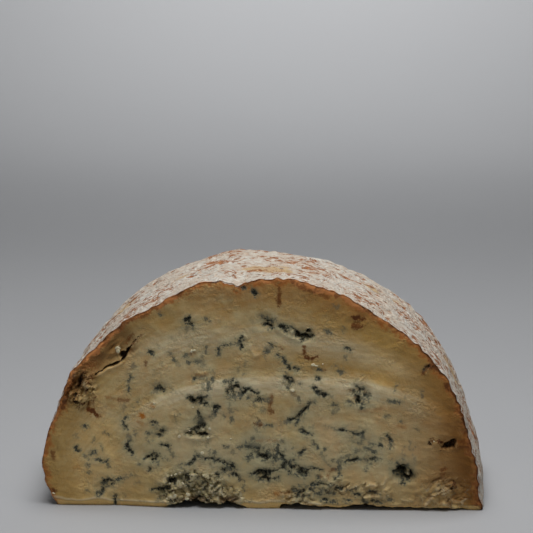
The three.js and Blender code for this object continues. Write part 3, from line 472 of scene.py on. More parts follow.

# Pale ridges and smears of curd, pressed flat into the cut, their paleness partly painted highlight on lips
# that catch the light: half width, height, then x and z
RIDGES = [
    (1.2, 0.9, -6, 108.2, -4.4, 103.9, -2.9, 101.2, -0.2, 101.8), (1.0, 0.8, -8.4, 113.8, -7.6, 113.2),
    (0.8, 0.6, -38.6, 89.6, -33.8, 89.2), (1.0, 0.8, 12.3, 117.8, 17, 114.4, 22, 112.6, 26, 111.6),
    (1.0, 0.8, 20.6, 117, 24, 116), (0.8, 1.0, 66.7, 15, 70.4, 17.6, 75.6, 16.6, 79, 17.8, 81.3, 21.3),
    (0.8, 0.8, 66.4, 9, 70, 9.4, 80, 8.4), (0.7, 0.9, 52, 12.4, 58, 13.6, 63, 17.2, 67, 18.4),
    (1.5, 1.3, 113.6, 14.6, 115.4, 13.4, 117.8, 13.6, 118.4, 11.4),
    (1.6, 1.4, 117.6, 5.2, 121, 4.6, 123, 3, 126.4, 1.8), (0.9, 1.3, 106, 2.4, 107.6, 5, 109, 6.4, 111, 10),
    (0.8, 1.0, 111, 10, 113.4, 11.6, 116, 12.4), (0.9, 0.9, 122.6, 8.6, 124.4, 6.4, 127.6, 5.8),
    (0.7, 0.9, 103.6, 9.4, 105, 6.8, 104.6, 3.6), (1.2, 1.0, 42, 21, 46, 18, 52, 14),
    (1.0, 0.9, 43, 15, 47.4, 17.6, 50, 21.4), (1.1, 0.9, -45.6, 47.4, -39, 45.6, -34, 45.6, -31, 47.4),
    (0.9, 1.6, -89.4, 102, -89.2, 106.2), (0.8, 0.8, -102.6, 86.2, -96, 91.2, -91, 93, -86.6, 95.4),
    (1.5, 1.8, -111.6, 82, -109.8, 80.2), (0.9, 0.7, -112.6, 73.4, -108, 74.6),
    (0.5, 0.8, 105.5, 90.7, 107, 94, 109.9, 96.8), (0.7, 0.7, 60.8, 125.4, 64.4, 125),
    (0.8, 0.6, 60.6, 119.6, 64.6, 119.8), (0.9, 0.5, -96, 44, -92, 46.4),
    (1.0, 1.3, 22, 6.6, 31, 5.6, 40, 3.4), (0.6, 0.7, 41, 5.6, 45.6, 5.2),
    (0.8, 0.7, 117.6, 46, 123.6, 48.8), (0.6, 0.9, 125.4, 47.4, 125.8, 42),
    (0.7, 0.6, 110.6, 25, 114.6, 25.8, 118.2, 25.6), (0.7, 0.5, 111, 23, 115, 23, 117, 22.6),
    (0.6, 0.6, 125.6, 16.2, 129.6, 18), (1.0, 0.6, 100.4, 12.4, 104, 13.4), (1.0, 0.8, 92, 7, 98, 6.4),
    (0.9, 0.7, 109, 8.4, 112, 7.6), (0.7, 0.7, -66.6, 10.6, -65, 10.4), (0.9, 0.8, 68, 73.4, 69, 72.2),
    (0.8, 0.6, 65.2, 73, 66.4, 72), (0.7, 0.5, 62.6, 84, 64.4, 86), (1.4, 0.7, 94.4, 25, 95.4, 24),
    (0.8, 0.6, 19.4, 82.8, 20.6, 82.2),
]

# White curds stuck to the cut: x, z and width in mm
CURDS = [
    (-42.6, 104, 3.0), (-40.8, 104.4, 2.0), (34.3, 96, 3.2), (36.4, 95.3, 2.4), (40.4, 96.4, 2.0),
    (21.4, 79.4, 2.4), (-66.6, 69.6, 1.8), (-50.9, 48, 2.2), (-35.5, 52.2, 1.8), (-31.1, 53.1, 2.1),
    (-32.2, 47.4, 1.9), (-44.2, 52, 1.6), (-41.7, 67.4, 1.5), (-36.2, 37, 2.8), (-53.6, 22.4, 2.4),
    (-55.8, 21.6, 1.8), (-17.8, 46.7, 1.3), (29, 1.9, 2.8), (111.2, 46.8, 1.2), (-45.6, 9, 3.6),
    (-46, 6.4, 2.6), (-57, 15.8, 2.4), (-49, 16.4, 2.6), (-30.5, 15.6, 2.6), (-29.4, 8.4, 2.6),
    (-53.6, 8.6, 2.6), (-58.6, 5.8, 2.4), (-41.6, 12.4, 2.2), (-38, 10.6, 2.2), (-22.4, 13.4, 2.0),
    (-132.3, 8, 2.0), (70.8, 17.4, 1.4), (45.6, 17, 1.6), (95.2, 24.2, 2.0), (-89.4, 105.2, 3.2),
    (-89.2, 103.5, 2.9),
]
# Small curds by chance: how many, in the first so many crumbly patches, their widths and the
# height that none lies under, in mm
CURDS_BY_CHANCE = 6
CURD_PATCHES = 6
SMALL_CURDS = (0.7, 1.5)
LOWEST_CURD = 1.2
CURD_FACETS = 7

# Rind: rust showing through the bloom. Angle and half spread in degrees, depth behind the
# cut and half spread in mm, strength
RIND_RUST = [
    (103, 9, 50, 13, 1.0), (97, 5, 61, 5, 0.7), (119.5, 6.5, 27, 14, 1.0), (127, 5, 20, 16, 0.6),
    (82, 10, 54, 9, 0.8), (75, 6, 46, 14, 0.95), (66, 5, 52, 8, 0.6), (80, 4, 14, 8, 0.75),
    (47, 6, 40, 9, 1.0), (60, 6, 62, 6, 0.7), (36, 8, 22, 12, 0.35), (154, 9, 20, 20, 0.6),
    (170, 10, 40, 24, 0.6), (12, 12, 46, 22, 0.6), (140, 8, 62, 12, 0.8), (100, 12, 78, 10, 0.6),
    (40, 9, 74, 12, 0.8),
]
# Rind: places where the bloom is rubbed off and the ochre skin shows, given the same way
RIND_BARE = [
    (88, 8, 26, 11, 1.15), (60, 4, 56, 6, 0.9), (84, 3, 38, 5, 0.5), (51, 4, 60, 7, 0.5),
    (111, 4, 44, 5, 0.5), (130, 7, 58, 10, 0.6), (28, 8, 56, 12, 0.6), (160, 6, 66, 10, 0.6),
]
# Rind: small dark specks: angle, depth behind the cut and half width in mm
RIND_SPECKS = [
    (84.6, 34.5, 1.0), (83.7, 46.8, 0.8), (81.4, 8.7, 1.2), (79.6, 17.2, 0.9), (78, 9.8, 0.9),
    (59.4, 57, 0.9), (57, 52, 1.0), (50.5, 33, 0.9), (46.2, 38, 0.9), (66.5, 44, 0.8),
]
SPECK_EDGE = 0.8
# Rind: front edge where the white lip hangs over the crust: angle and half spread
WHITE_LIP = [(99, 3.2), (96.2, 1.2)]

# Crust: angle and width of the brown line that the rind makes on the cut, in mm
CRUST_WIDTH = [
    (-8, 1.2), (20, 1.3), (38, 1.7), (50, 1.3), (62, 2.4), (69, 3.4), (80, 3.4), (88, 2.8), (97, 0.9),
    (105, 1.6), (118, 2.4), (132, 2.8), (146, 2.2), (158, 1.4), (170, 1.0), (190, 0.9),
]

# What the paste reads of the measures that are stored on the mesh
PASTE_READS = [
    "mould", "mould_darkness", "mould_near", "stain", "stain_strength", "stain_orange", "ridge", "crumbly",
    "gap", "crumb_top", "brown_gap", "flake", "under_foot", "recess", "hollow", "split", "foot", "from_rind",
    "across", "foot_level", "from_ledge", "pale_arc", "arc", "lip", "crust_width",
]
RIND_READS = ["arc", "behind", "flat_back", "rust", "bare", "speck"]

# Patterns of the paste: grain in mm, the noise where they start and where they are full, then
# the noise's detail and roughness
PASTE_PATTERNS = {
    "wobble": (0.9, 0.25, 0.75, 3.0, 0.65),
    "grain": (0.55, 0.2, 0.8, 4.0, 0.7),
    "clumps": (2.1, 0.3, 0.7, 2.0),
    "grains": (1.5, 0.3, 0.7, 3.0, 0.7),
    "cloud": (26, 0.3, 0.7, 3.0),
    "mottle": (7, 0.3, 0.72, 4.0, 0.6),
    "speckle": (2.2, 0.4, 0.75, 4.0, 0.65),
    "smudge": (12, 0.42, 0.68, 3.0, 0.6),
    "lump area": (7, 0.36, 0.56, 2.0),
    "lump gap area": (8, 0.42, 0.62, 3.0),
    "rough area": (15, 0.45, 0.65, 2.0),
    "foot mould area": (17, 0.52, 0.66, 2.0),
}
# The rind's powder, clouds and blotches, then its broad streaks, streaks, scratches and crumbs
RIND_CLOUDS = [(1.1, 0.3, 0.75, 3.0, 0.6), (21, 0.35, 0.7, 3.0), (30, 0.45, 0.68, 3.0)]
RIND_STREAKS = [
    (5.4, 0.44, 0.58, 5.0, 0.7), (2.2, 0.44, 0.6, 4.0, 0.7), (1.2, 0.5, 0.62, 3.0, 0.6),
    (2.6, 0.35, 0.7, 4.0, 0.65),
]
# How near its level a pattern is where a thin line is full
LINE_CORE = 0.004

# Regions of the cut, for its colours: the measures that bound each one, and where along each
# measure the region starts and where it is full, in mm (foot_level: in heights of the crest)
REGIONS = {
    # Painted highlight: a pale band under the ledge's crest, where its slope faces up
    "band": [
        ("from_ledge", -17, -2.5), ("from_ledge", 1.4, -1.2), ("across", -96, -48), ("across", 128, 62),
    ],
    "above the ledge": [("from_ledge", -1, 8), ("across", -30, 50), ("across", 150, 62)],
    "raised end": [("height", 27, 12), ("from_rind", 3, 13)],
    "right": [("across", 72, 136)],
    "far right": [("across", 112, 140)],
    "right end": [("across", 99, 111)],
    "right shoulder": [("across", 54, 82), ("height", 74, 88), ("height", 126, 108)],
    "left": [("across", -84, -128)],
    "pale left": [("across", -84, -98), ("across", -126, -112), ("from_ledge", 30, 14), ("height", 66, 52)],
    "left shoulder": [("across", -62, -76), ("height", 104, 114)],
    "low paste": [("height", 36, 4)],
    "under the rind": [("uneven_rind", 28, 5)],
    "top": [("uneven_rind", 22, 5), ("height", 116, 130), ("across", -60, -15)],
    "dark crust": [("across", 84, 108)],
    "crags": [("across", -97, -106), ("crag_line", 176, 187)],
    "crag side": [("across", -95, -103), ("height", 54, 62)],
    "torn crests": [("across", 94, 108), ("height", 25, 13), ("from_rind", 4, 9)],
    "wisps": [("from_ledge", -45, 2)],
    "deep stain": [("from_ledge", -30, -48)],
    "speckled": [("across", 150, 40)],
    "pale ridges": [("across", 160, 84), ("across", -125, -96)],
    # Painted highlight along the crest over the pressed lower edge
    "crest highlight": [("foot_level", 0.8, 1.05), ("foot_level", 1.4, 1.15), ("across", 60, 0)],
}
# Slope of the line that bounds the crags' brown paste
CRAG_SLOPE = -0.93

# The floor: its size, how far its middle is in front of the piece, the height of its back, and
# the radius and steps of the sweep between them, in metres
FLOOR = {"size": 6, "in_front": 1.2, "back": 4, "sweep": 0.7, "steps": 14}
# Lights: name, place and target in metres, width, spread in degrees and the setting for its power
LIGHTS = [
    ("soft light overhead", (0.04, -0.12, 1.2), (0.0, 0.0, 0.05), 0.8, 180, "key_power"),
    ("light on the back", (0.0, 0.7, 1.7), (0.0, 2.0, 0.2), 0.6, 70, "back_power"),
]
SKY_COLOUR = "#f4f5f8"
FLOOR_COLOUR = "#a7a8aa"
# Width of the camera's sensor in mm, and how far the camera sees, in metres
SENSOR_WIDTH = 36
FARTHEST_SEEN = 20

# Cells of the block that becomes the piece, before it is subdivided, and how they crowd
# towards the foot and the broad cut
COLUMNS = 80
ROWS = 40
LAYERS = 42
ROW_CROWDING = 1.15
LAYER_CROWDING = 1.2
RIM_LAYERS = 5
# What counts as the block's very edge
BLOCK_EDGE = 0.999
# How far the relief of the cut reaches into the rind and into the foot, in mm
EDGE_FADE = 12
FOOT_FADE = 40
# How far the cut edge of the rind is rounded, and how far inside the edge that fades, in mm
EDGE_ROUNDING = 1.0
EDGE_REACH = 1.2
# How far points stay inside the CAD box, in metres
BOX_MARGIN = 0.00002
# Edges sharper than this, in degrees, stay sharp
SMOOTH_ANGLE = 50

# Measures of the broad cut that are stored as they are, and what the foot cut has instead of
# the depth inside a mark and the distance from the rind
FACE_MEASURES = [
    "mould_darkness", "stain", "stain_strength", "stain_orange", "ridge", "crumbly", "gap", "crumb_top",
    "brown_gap", "recess", "hollow", "under_foot",
]
NO_MOULD = -8
FOOT_FROM_RIND = 40


def linear(hex_colour):
    """An sRGB hex colour as linear red, green, blue and alpha."""
    channels = [int(hex_colour[i : i + 2], 16) / 255 for i in (1, 3, 5)]
    return tuple(c / 12.92 if c <= 0.04045 else ((c + 0.055) / 1.055) ** 2.4 for c in channels) + (1.0,)


def lattice(i, j, seed):
    """A fixed pseudo-random number from 0 to 1 at each whole-numbered place."""
    value = np.sin(i * 127.1 + j * 311.7 + seed * 74.7) * 43758.5453
    return value - np.floor(value)


def smoothstep(x, low, high):
    """0 to 1 as x goes from low to high, with soft ends."""
    t = np.clip((x - low) / (high - low), 0, 1)
    return t * t * (3 - 2 * t)


def noise(x, y, seed):
    """Smooth noise from -1 to 1 between the lattice's places."""
    i = np.floor(x)
    j = np.floor(y)
    u = smoothstep(x - i, 0, 1)
    v = smoothstep(y - j, 0, 1)
    low = (1 - u) * lattice(i, j, seed) + u * lattice(i + 1, j, seed)
    high = (1 - u) * lattice(i, j + 1, seed) + u * lattice(i + 1, j + 1, seed)
    return 2 * ((1 - v) * low + v * high) - 1


def grained(x, y, name):
    """One of the named noises, at x and y in mm."""
    size, wide, high, seed = NOISES[name]
    return size * noise(x / wide, y / high, seed)


def lobe_sum(lobes, angle):
    """The bulges and dips of a list, added up at an angle."""
    return sum(size * np.exp(-(((angle - at) / spread) ** 2)) for at, spread, size in lobes)


class Wheel:
    """The wheel's rind and the arch it makes over the foot cut."""

    def __init__(self, sizes):
        self.radius = sizes.wheel_radius / MM
        self.height = sizes.axis_height / MM
        self.depth = sizes.piece_depth / MM
        self.rim = sizes.rim_radius / MM
        self.wrinkles = sizes.wrinkles

    def rind_radius(self, angle, depth):
        """Radius of the rind at an angle in degrees and a depth behind the broad cut."""
        arc = np.radians(angle) * self.radius
        lobes = lobe_sum(ARCH_LOBES, angle) * np.exp(-((depth / LOBE_REACH) ** 2))
        worn = np.maximum(0, angle - WORN_CORNER_START) * WORN_CORNER_SLOPE
        worn = worn * np.exp(-((depth / CORNER_REACH) ** 2))
        torn = grained(arc, depth, "ragged") * np.exp(-depth / RAGGED_REACH)
        rind = lobe_sum(RIND_BULGES, angle) + grained(arc, depth, "swell") + grained(arc, depth, "dent")
        rind = rind * smoothstep(depth, 0, LOBE_REACH)
        return self.radius + lobes - worn + rind + torn + self.fine_relief(arc, depth)

    def fine_relief(self, arc, depth):
        """Wrinkles, knobs and the bloom's roughness, half as strong at the cut edge."""
        wrinkles = grained(arc, depth + grained(arc, depth, "wrinkle wander"), "wrinkle")
        relief = wrinkles + grained(arc, depth, "knob") + grained(arc, depth, "bloom")
        return self.wrinkles * relief * (0.5 + 0.5 * smoothstep(depth, 0, CALM_EDGE))

    def foot_angle(self, above, below, depth, inset):
        """Angle at which the arch comes down to the foot cut, by halving."""
        above = np.full_like(depth, above)
        below = np.full_like(depth, below)
        for _ in range(HALVINGS):
            middle = (above + below) / 2
            radius = self.rind_radius(middle, depth) - inset
            over = self.height + radius * np.sin(np.radians(middle)) > 0
            above = np.where(over, middle, above)
            below = np.where(over, below, middle)
        return (above + below) / 2

    def place(self, along, out, depth, inset):
        """x, z and angle of points at a share along the arch and a share out towards it."""
        depths, index = np.unique(depth, return_inverse=True)
        insets = np.zeros_like(depths)
        insets[index] = inset
        right = self.foot_angle(*RIGHT_FOOT, depths, insets)
        left = self.foot_angle(*LEFT_FOOT, depths, insets)
        angle = (1 - along) * right[index] + along * left[index]
        radius = self.rind_radius(angle, depth) - inset
        right_x = (self.rind_radius(right, depths) - insets) * np.cos(np.radians(right))
        left_x = (self.rind_radius(left, depths) - insets) * np.cos(np.radians(left))
        middle = (right_x + left_x) / 2
        edge_x = radius * np.cos(np.radians(angle))
        edge_z = self.height + radius * np.sin(np.radians(angle))
        edge_z = np.where((along == 0) | (along == 1), 0, edge_z)
        x = (1 - out) * middle[index] + out * edge_x
        return x, out * edge_z, angle


def feature_axes(x, z, centre_x, centre_z, turn):
    """How far a point lies along and across a feature that is turned by some degrees."""
    c = math.cos(math.radians(turn))
    s = math.sin(math.radians(turn))
    dx = x - centre_x
    dz = z - centre_z
    return dx * c + dz * s, dz * c - dx * s


def in_oval(x, z, oval, core):
    """1 inside the core of an oval (centre, half width, half height), 0 outside the oval."""
    centre_x, centre_z, half_width, half_height = oval
    distance = np.hypot((x - centre_x) / half_width, (z - centre_z) / half_height)
    return 1 - smoothstep(distance, core, 1)


def ledge_crest(x):
    """Height of the ledge's upper edge."""
    return LEDGE["z"] - LEDGE["fall"] * np.abs(x - LEDGE["x"]) ** 3


def ledge(x, z):
    """How far the paste under the ledge stands proud."""
    crest = ledge_crest(x)
    below = 1 - smoothstep(z, crest - LEDGE["softness"], crest + LEDGE["softness"])
    in_left = smoothstep(x, LEDGE["left"] - LEDGE["fade"], LEDGE["left"] + LEDGE["fade"])
    in_right = 1 - smoothstep(x, LEDGE["right"] - LEDGE["fade"], LEDGE["right"])
    return LEDGE["height"] * below * in_left * in_right


def pale_arc(x, z):
    """How much a point lies in the pale arc, weaker in its middle."""
    off = np.abs(z - PALE_ARC["z"] + PALE_ARC["fall"] * (x - PALE_ARC["x"]) ** 2)
    outer = PALE_ARC["fade"]
    inner = outer / 2
    ends = smoothstep(x, PALE_ARC["left"] - inner, PALE_ARC["left"] + outer)
    ends = ends * smoothstep(x, PALE_ARC["right"] + outer, PALE_ARC["right"] - inner)
    weaker = PALE_ARC["dip"] * np.exp(-(((x - PALE_ARC["x"]) / PALE_ARC["dip_reach"]) ** 2))
    return (1 - smoothstep(off, PALE_ARC["core"], PALE_ARC["half_height"])) * ends * (1 - weaker)


def segment_distance(x, z, start, end):
    """Distance in mm from points to a straight stretch."""
    dx = end[0] - start[0]
    dz = end[1] - start[1]
    length = max(dx * dx + dz * dz, 1e-9)
    share = np.clip(((x - start[0]) * dx + (z - start[1]) * dz) / length, 0, 1)
    return np.hypot(x - start[0] - share * dx, z - start[1] - share * dz)


def run_through(mark, start):
    """The points x, z that follow a mark's first numbers."""
    return list(zip(mark[start::2], mark[start + 1 :: 2]))


def line_distance(x, z, points):
    """Distance in mm from points to the nearest stretch of a line."""
    distance = np.inf
    for start, end in zip(points, points[1:]):
        distance = np.minimum(distance, segment_distance(x, z, start, end))
    return distance


def sunken_flake(x, z):
    """How far the flake beyond the crack has sunk, as a negative height."""
    along, across = feature_axes(x, z, CRACK["x"], CRACK["z"], CRACK["turn"])
    share = 1 - smoothstep(np.abs(along), CRACK["half_length"] - CRACK["fade"], CRACK["half_length"])
    return -share * CRACK["sink"] * smoothstep(across, -CRACK["half_width"], 2 * CRACK["half_width"])


def crack_split(x, z):
    """How open the crack is, 0 to 1: it narrows to the right and has a hole half way."""
    distance = line_distance(x, z, CRACK_LINE)
    width = CRACK_WIDTH + grained(x, z, "crack width") - CRACK_WIDTH * smoothstep(x, *CRACK_NARROWS)
    width = np.maximum(width, CRACK_LEAST_WIDTH)
    line = 1 - smoothstep(distance, 0.45 * width, 1.5 * width)
    line = line * (1 - CRACK_FADE * smoothstep(x, *CRACK_FADES))
    centre_x, centre_z, half_length, half_width, turn = CRACK_HOLE
    along, across = feature_axes(x, z, centre_x, centre_z, turn)
    return np.maximum(line, in_oval(along, across, (0, 0, half_length, half_width), 0.55))


def hollows(x, z):
    """Depth of the hollows, with ragged outlines."""
    wander = 1 + grained(x, z, "hollow edge")
    deepest = np.zeros_like(x)
    for centre_x, centre_z, half_width, half_height, turn, depth in HOLLOWS.values():
        along, across = feature_axes(x, z, centre_x, centre_z, turn)
        distance = np.hypot(along / half_width, across / half_height) * wander
        deepest = np.maximum(deepest, depth * (1 - smoothstep(distance, HOLLOW_FLOOR, 1)))
    return deepest


def chunks(x, z, grain, seed):
    """Broken chunks: their heights, -1 to 1, and how near a point is to a gap, 0 to 1."""
    gx = x / grain
    gz = z / grain
    i = np.floor(gx)
    j = np.floor(gz)
    nearest = np.full_like(x, 9.0)
    second = np.full_like(x, 9.0)
    height = np.zeros_like(x)
    for ci, cj in [(i + di, j + dj) for di in (-1, 0, 1) for dj in (-1, 0, 1)]:
        to_x = gx - ci - lattice(ci, cj, seed)
        to_z = gz - cj - lattice(ci, cj, seed + 0.3)
        distance = np.hypot(to_x, to_z)
        own = 2 * lattice(ci, cj, seed + 0.6) - 1
        tilt = (lattice(ci, cj, seed + 0.7) - 0.5) * to_x + (lattice(ci, cj, seed + 0.8) - 0.5) * to_z
        closer = distance < nearest
        second = np.where(closer, nearest, np.minimum(second, distance))
        height = np.where(closer, own + CHUNK["tilt"] * tilt, height)
        nearest = np.minimum(nearest, distance)
    dome = np.sqrt(np.clip(1 - (nearest / CHUNK["dome_radius"]) ** 2, 0, 1)) - CHUNK["dome_foot"]
    return CHUNK["top"] * height + CHUNK["dome"] * dome, 1 - smoothstep(second - nearest, 0, CHUNK["gap"])


def crumbly(x, z):
    """Relief of the crumbly patches, how crumbly a point is, its gaps darkened with mould and
    painted shade, the painted brown shade of its other gaps, and its tops, where highlight is painted."""
    relief, crumbly_share, gaps, brown, tops = np.zeros((5, len(x)))
    warp_x = x + grained(x, z, "crumb warp, x")
    warp_z = z + grained(x, z, "crumb warp, z")
    for *oval, size, grain, white in CRUMBLY:
        share = in_oval(x, z, oval, CRUMBLY_CORE)
        large, large_gap = chunks(warp_x, warp_z, grain * CRUMB_SIZES[0], CHUNK_SEED)
        small, _ = chunks(warp_x, warp_z, grain * CRUMB_SIZES[1], CHUNK_SEED + 1)
        smooth = noise(x / grain, z / grain, CRUMB_SEED)
        own = 0.4 * smooth + 0.6 * large + 0.36 * small - 0.45 * large_gap
        relief += share * size * own
        crumbly_share = np.maximum(crumbly_share, share * white)
        # Low parts between the crumbs: mould and painted shade where the crumbs are white, painted brown
        # shade where they aren't
        low = share * smoothstep(own, 0.1, -0.9)
        gaps = np.maximum(gaps, low * white)
        brown = np.maximum(brown, low * (1 - white))
        # Tops of the crumbs, where highlight is painted
        tops = np.maximum(tops, share * white * smoothstep(own, 0.1, 0.55))
    return relief, crumbly_share, gaps, brown, tops


def strata(x, z):
    """Layered, torn relief, and how much painted brown shade lies in its gaps."""
    relief, low = np.zeros((2, len(x)))
    for *oval, turn, size in STRATA:
        share = in_oval(x, z, oval, STRATA_CORE)
        along, across = feature_axes(x, z, oval[0], oval[1], turn)
        across = across + grained(along, across, "layer wander")
        own = grained(along, across, "layers") + grained(along, across, "fine layers")
        relief += share * size * own
        low = np.maximum(low, share * smoothstep(own, -0.15, -0.6) * min(size, 1.5))
    return relief, low


def foot_gap(x, z):
    """How far the paste is gone over the foot's gaps, in mm."""
    wander = 1 + grained(x, 0 * x, "gap") + grained(x, z, "fine gap")
    tall = np.interp(x, [at for at, _ in FOOT_GAPS], [height for _, height in FOOT_GAPS]) * wander
    return GAP_REACH * tall * (1 - smoothstep(z, 0.7 * tall, 1.05 * tall + 0.25)) * smoothstep(tall, 0, 0.6)


def foot_level(x, z):
    """Height as a share of the height of the crest over the pressed lower edge."""
    wander = grained(x, 0 * x, "foot crest") + grained(x, 0 * x, "fine foot crest")
    return z / (FOOT_ROUNDING_HEIGHT * (1 + wander))


def foot_rounding(x, z):
    """How far the pressed lower edge draws back; negative at the crest over it."""
    share = foot_level(x, z)
    crest = FOOT_CREST * np.exp(-(((share - 1) / 0.4) ** 2))
    return FOOT_ROUNDING * np.clip(1 - share, 0, 1) ** 1.3 - crest


def foot_recesses(x, z):
    """How much a point lies in a recess over the foot's gaps, which is where its painted shade goes, and the
    recess's depth there.
    """
    inside, deepest = np.zeros((2, len(x)))
    for recess_x, recess_z, half_width, half_height, depth in FOOT_RECESSES:
        distance = np.hypot((x - recess_x) / half_width, (z - recess_z) / half_height)
        share = 1 - smoothstep(distance * (1 + grained(x, z, "recess edge")), 0.4, 1)
        inside = np.maximum(inside, share)
        deepest = np.maximum(deepest, share * depth)
    return inside, deepest


def creases(x, z):
    """Fine folds left where the soft paste tore, running a little downhill, in patches."""
    along, across = feature_axes(x, z, 0, 0, CREASE_TURN)
    folds = 1 - 2 * np.abs(grained(along, across, "crease"))
    where = smoothstep(grained(x, z, "crease patch"), 0, 0.6) * smoothstep(z, *CREASE_HEIGHTS)
    return CREASE_HEIGHT * folds * (0.05 + 0.95 * where)


def knot_marks():
    """Short crossed marks that fill the mould's knots."""
    draw = random.Random(KNOT_SEED)
    marks = []
    for x, z, reach, darkness, count in MOULD_KNOTS:
        for _ in range(count):
            angle = draw.uniform(0, 2 * math.pi)
            out = reach * math.sqrt(draw.uniform(0, 1))
            start = (x + out * math.cos(angle), z + out * math.sin(angle))
            turn = draw.uniform(0, math.pi)
            length = draw.uniform(0.3, 2.2)
            end = (start[0] + length * math.cos(turn), start[1] + length * math.sin(turn))
            marks.append((draw.uniform(0.3, 0.9), darkness * draw.uniform(0.35, 1.1), [start, end]))
    return marks


def stray_marks():
    """Faint specks and threads of mould scattered over the inner part of the cut."""
    draw = random.Random(STRAY_MARKS["seed"])
    free_x, free_z, left_out = STRAY_FREE
    marks = []
    while len(marks) < STRAY_MARKS["count"]:
        x = draw.uniform(-STRAY_MARKS["half_width"], STRAY_MARKS["half_width"])
        z = draw.uniform(STRAY_MARKS["low"], STRAY_MARKS["high"])
        if math.hypot(x, z - AXIS_HEIGHT / MM) > STRAY_MARKS["reach"]:
            continue
        if x > free_x and z > free_z and draw.random() < left_out:
            continue
        turn = draw.gauss(1.3, 0.9)
        length = draw.uniform(0.3, 4.5) ** 1.1
        end = (x + length * math.cos(turn), z + length * math.sin(turn))
        marks.append((draw.uniform(0.25, 0.8), draw.uniform(0.08, 0.42), [(x, z), end]))
    return marks


def warped(x, z):
    """Points moved a little by noise, so that marks get ragged, uneven edges."""
    moved_x = x + grained(x, z, "mark warp, x") + grained(x, z, "fine mark warp, x")
    moved_z = z + grained(x, z, "mark warp, z") + grained(x, z, "fine mark warp, z")
    return moved_x, moved_z


def mark_field(x, z, marks):
    """Depth inside the nearest mark in mm, its darkness, and how much mould is near."""
    wx, wz = warped(x, z)
    thick = MARK_THICKNESS * (1 + grained(x, z, "mark width"))
    inside = np.full_like(x, -MARK_REACH)
    weights = np.full_like(x, 1e-9)
    shade = np.zeros_like(x)
    clear = np.ones_like(x)
    for half_width, darkness, points in marks:
        span = MARK_REACH + half_width + 2
        near = True
        for values, ends in ((x, [p[0] for p in points]), (z, [p[1] for p in points])):
            near = near & (values > min(ends) - span) & (values < max(ends) + span)
        distance = line_distance(wx[near], wz[near], points)
        depth = half_width * thick[near] - distance
        weight = np.exp(np.clip(depth, -MARK_REACH, 2) * 1.6)
        inside[near] = np.maximum(inside[near], depth)
        weights[near] += weight
        shade[near] += weight * darkness
        clear[near] *= 1 - 0.4 * min(darkness, 1) * np.exp(-((distance / HALO_REACH) ** 2))
    return inside, shade / weights, 1 - clear


def ridge_relief(x, z):
    """Pressed ridges and lumps of paler curd."""
    wx, wz = warped(x, z)
    relief = np.zeros_like(x)
    for ridge in RIDGES:
        half_width, height = ridge[:2]
        distance = line_distance(wx, wz, run_through(ridge, 2))
        relief = np.maximum(relief, height * (1 - smoothstep(distance, 0.1, 1.9 * half_width)))
    return relief


class Face:
    """Everything that shows on the broad cut at points x, z: its relief and its marks."""

    def __init__(self, x, z, sizes):
        drawn = MOULD_ABOVE + MOULD_MIDDLE + MOULD_BELOW + MOULD_LEFT + MOULD_ENDS
        marks = [(m[0], m[1], run_through(m, 2)) for m in drawn] + knot_marks() + stray_marks()
        self.mould, self.mould_darkness, self.blue = mark_field(x, z, marks)
        stains = [(s[0], s[1], run_through(s, 3)) for s in STAINS]
        orange = [(s[0], s[2], run_through(s, 3)) for s in STAINS]
        self.stain, self.stain_strength, _ = mark_field(x, z, stains)
        _, self.stain_orange, _ = mark_field(x, z, orange)
        self.split = crack_split(*warped(x, z))
        self.ridge = ridge_relief(x, z)
        torn, self.crumbly, self.gap, brown_gap, self.crumb_top = crumbly(x, z)
        layers, layer_gap = strata(x, z)
        # Painted brown shade in the gaps of crumbs and torn layers
        self.brown_gap = np.maximum(0.6 * brown_gap, layer_gap)
        under = foot_gap(x, z)
        # Where shadow is painted in the gaps under the front edge
        self.under_foot = smoothstep(under, 0.4, 2.2)
        self.recess, recessed = foot_recesses(x, z)
        open_mould = smoothstep(self.mould, -0.5, 0.9) * smoothstep(self.mould_darkness, 0.3, 0.95)
        pits = 0.5 + grained(x, z, "pit")
        carved = hollows(x, z) * (HOLLOW_DISH + (1 - HOLLOW_DISH) * open_mould)
        carved = carved + sizes.mould_depth / MM * open_mould * (0.4 + 0.9 * pits)
        # Where the carved mould hollows are painted dark: dark mould and painted shade together
        self.hollow = open_mould * (0.4 + 0.6 * pits)
        waves = grained(x, z, "wave") + grained(x, z, "ripple") + grained(x + z, z - 0.3 * x, "grain")
        raised = ledge(x, z) + torn + layers + self.ridge * sizes.ridge_height + waves + creases(x, z)
        lowered = CRACK_DEPTH * self.split + carved + under + recessed + foot_rounding(x, z)
        self.height = raised + sunken_flake(x, z) - lowered


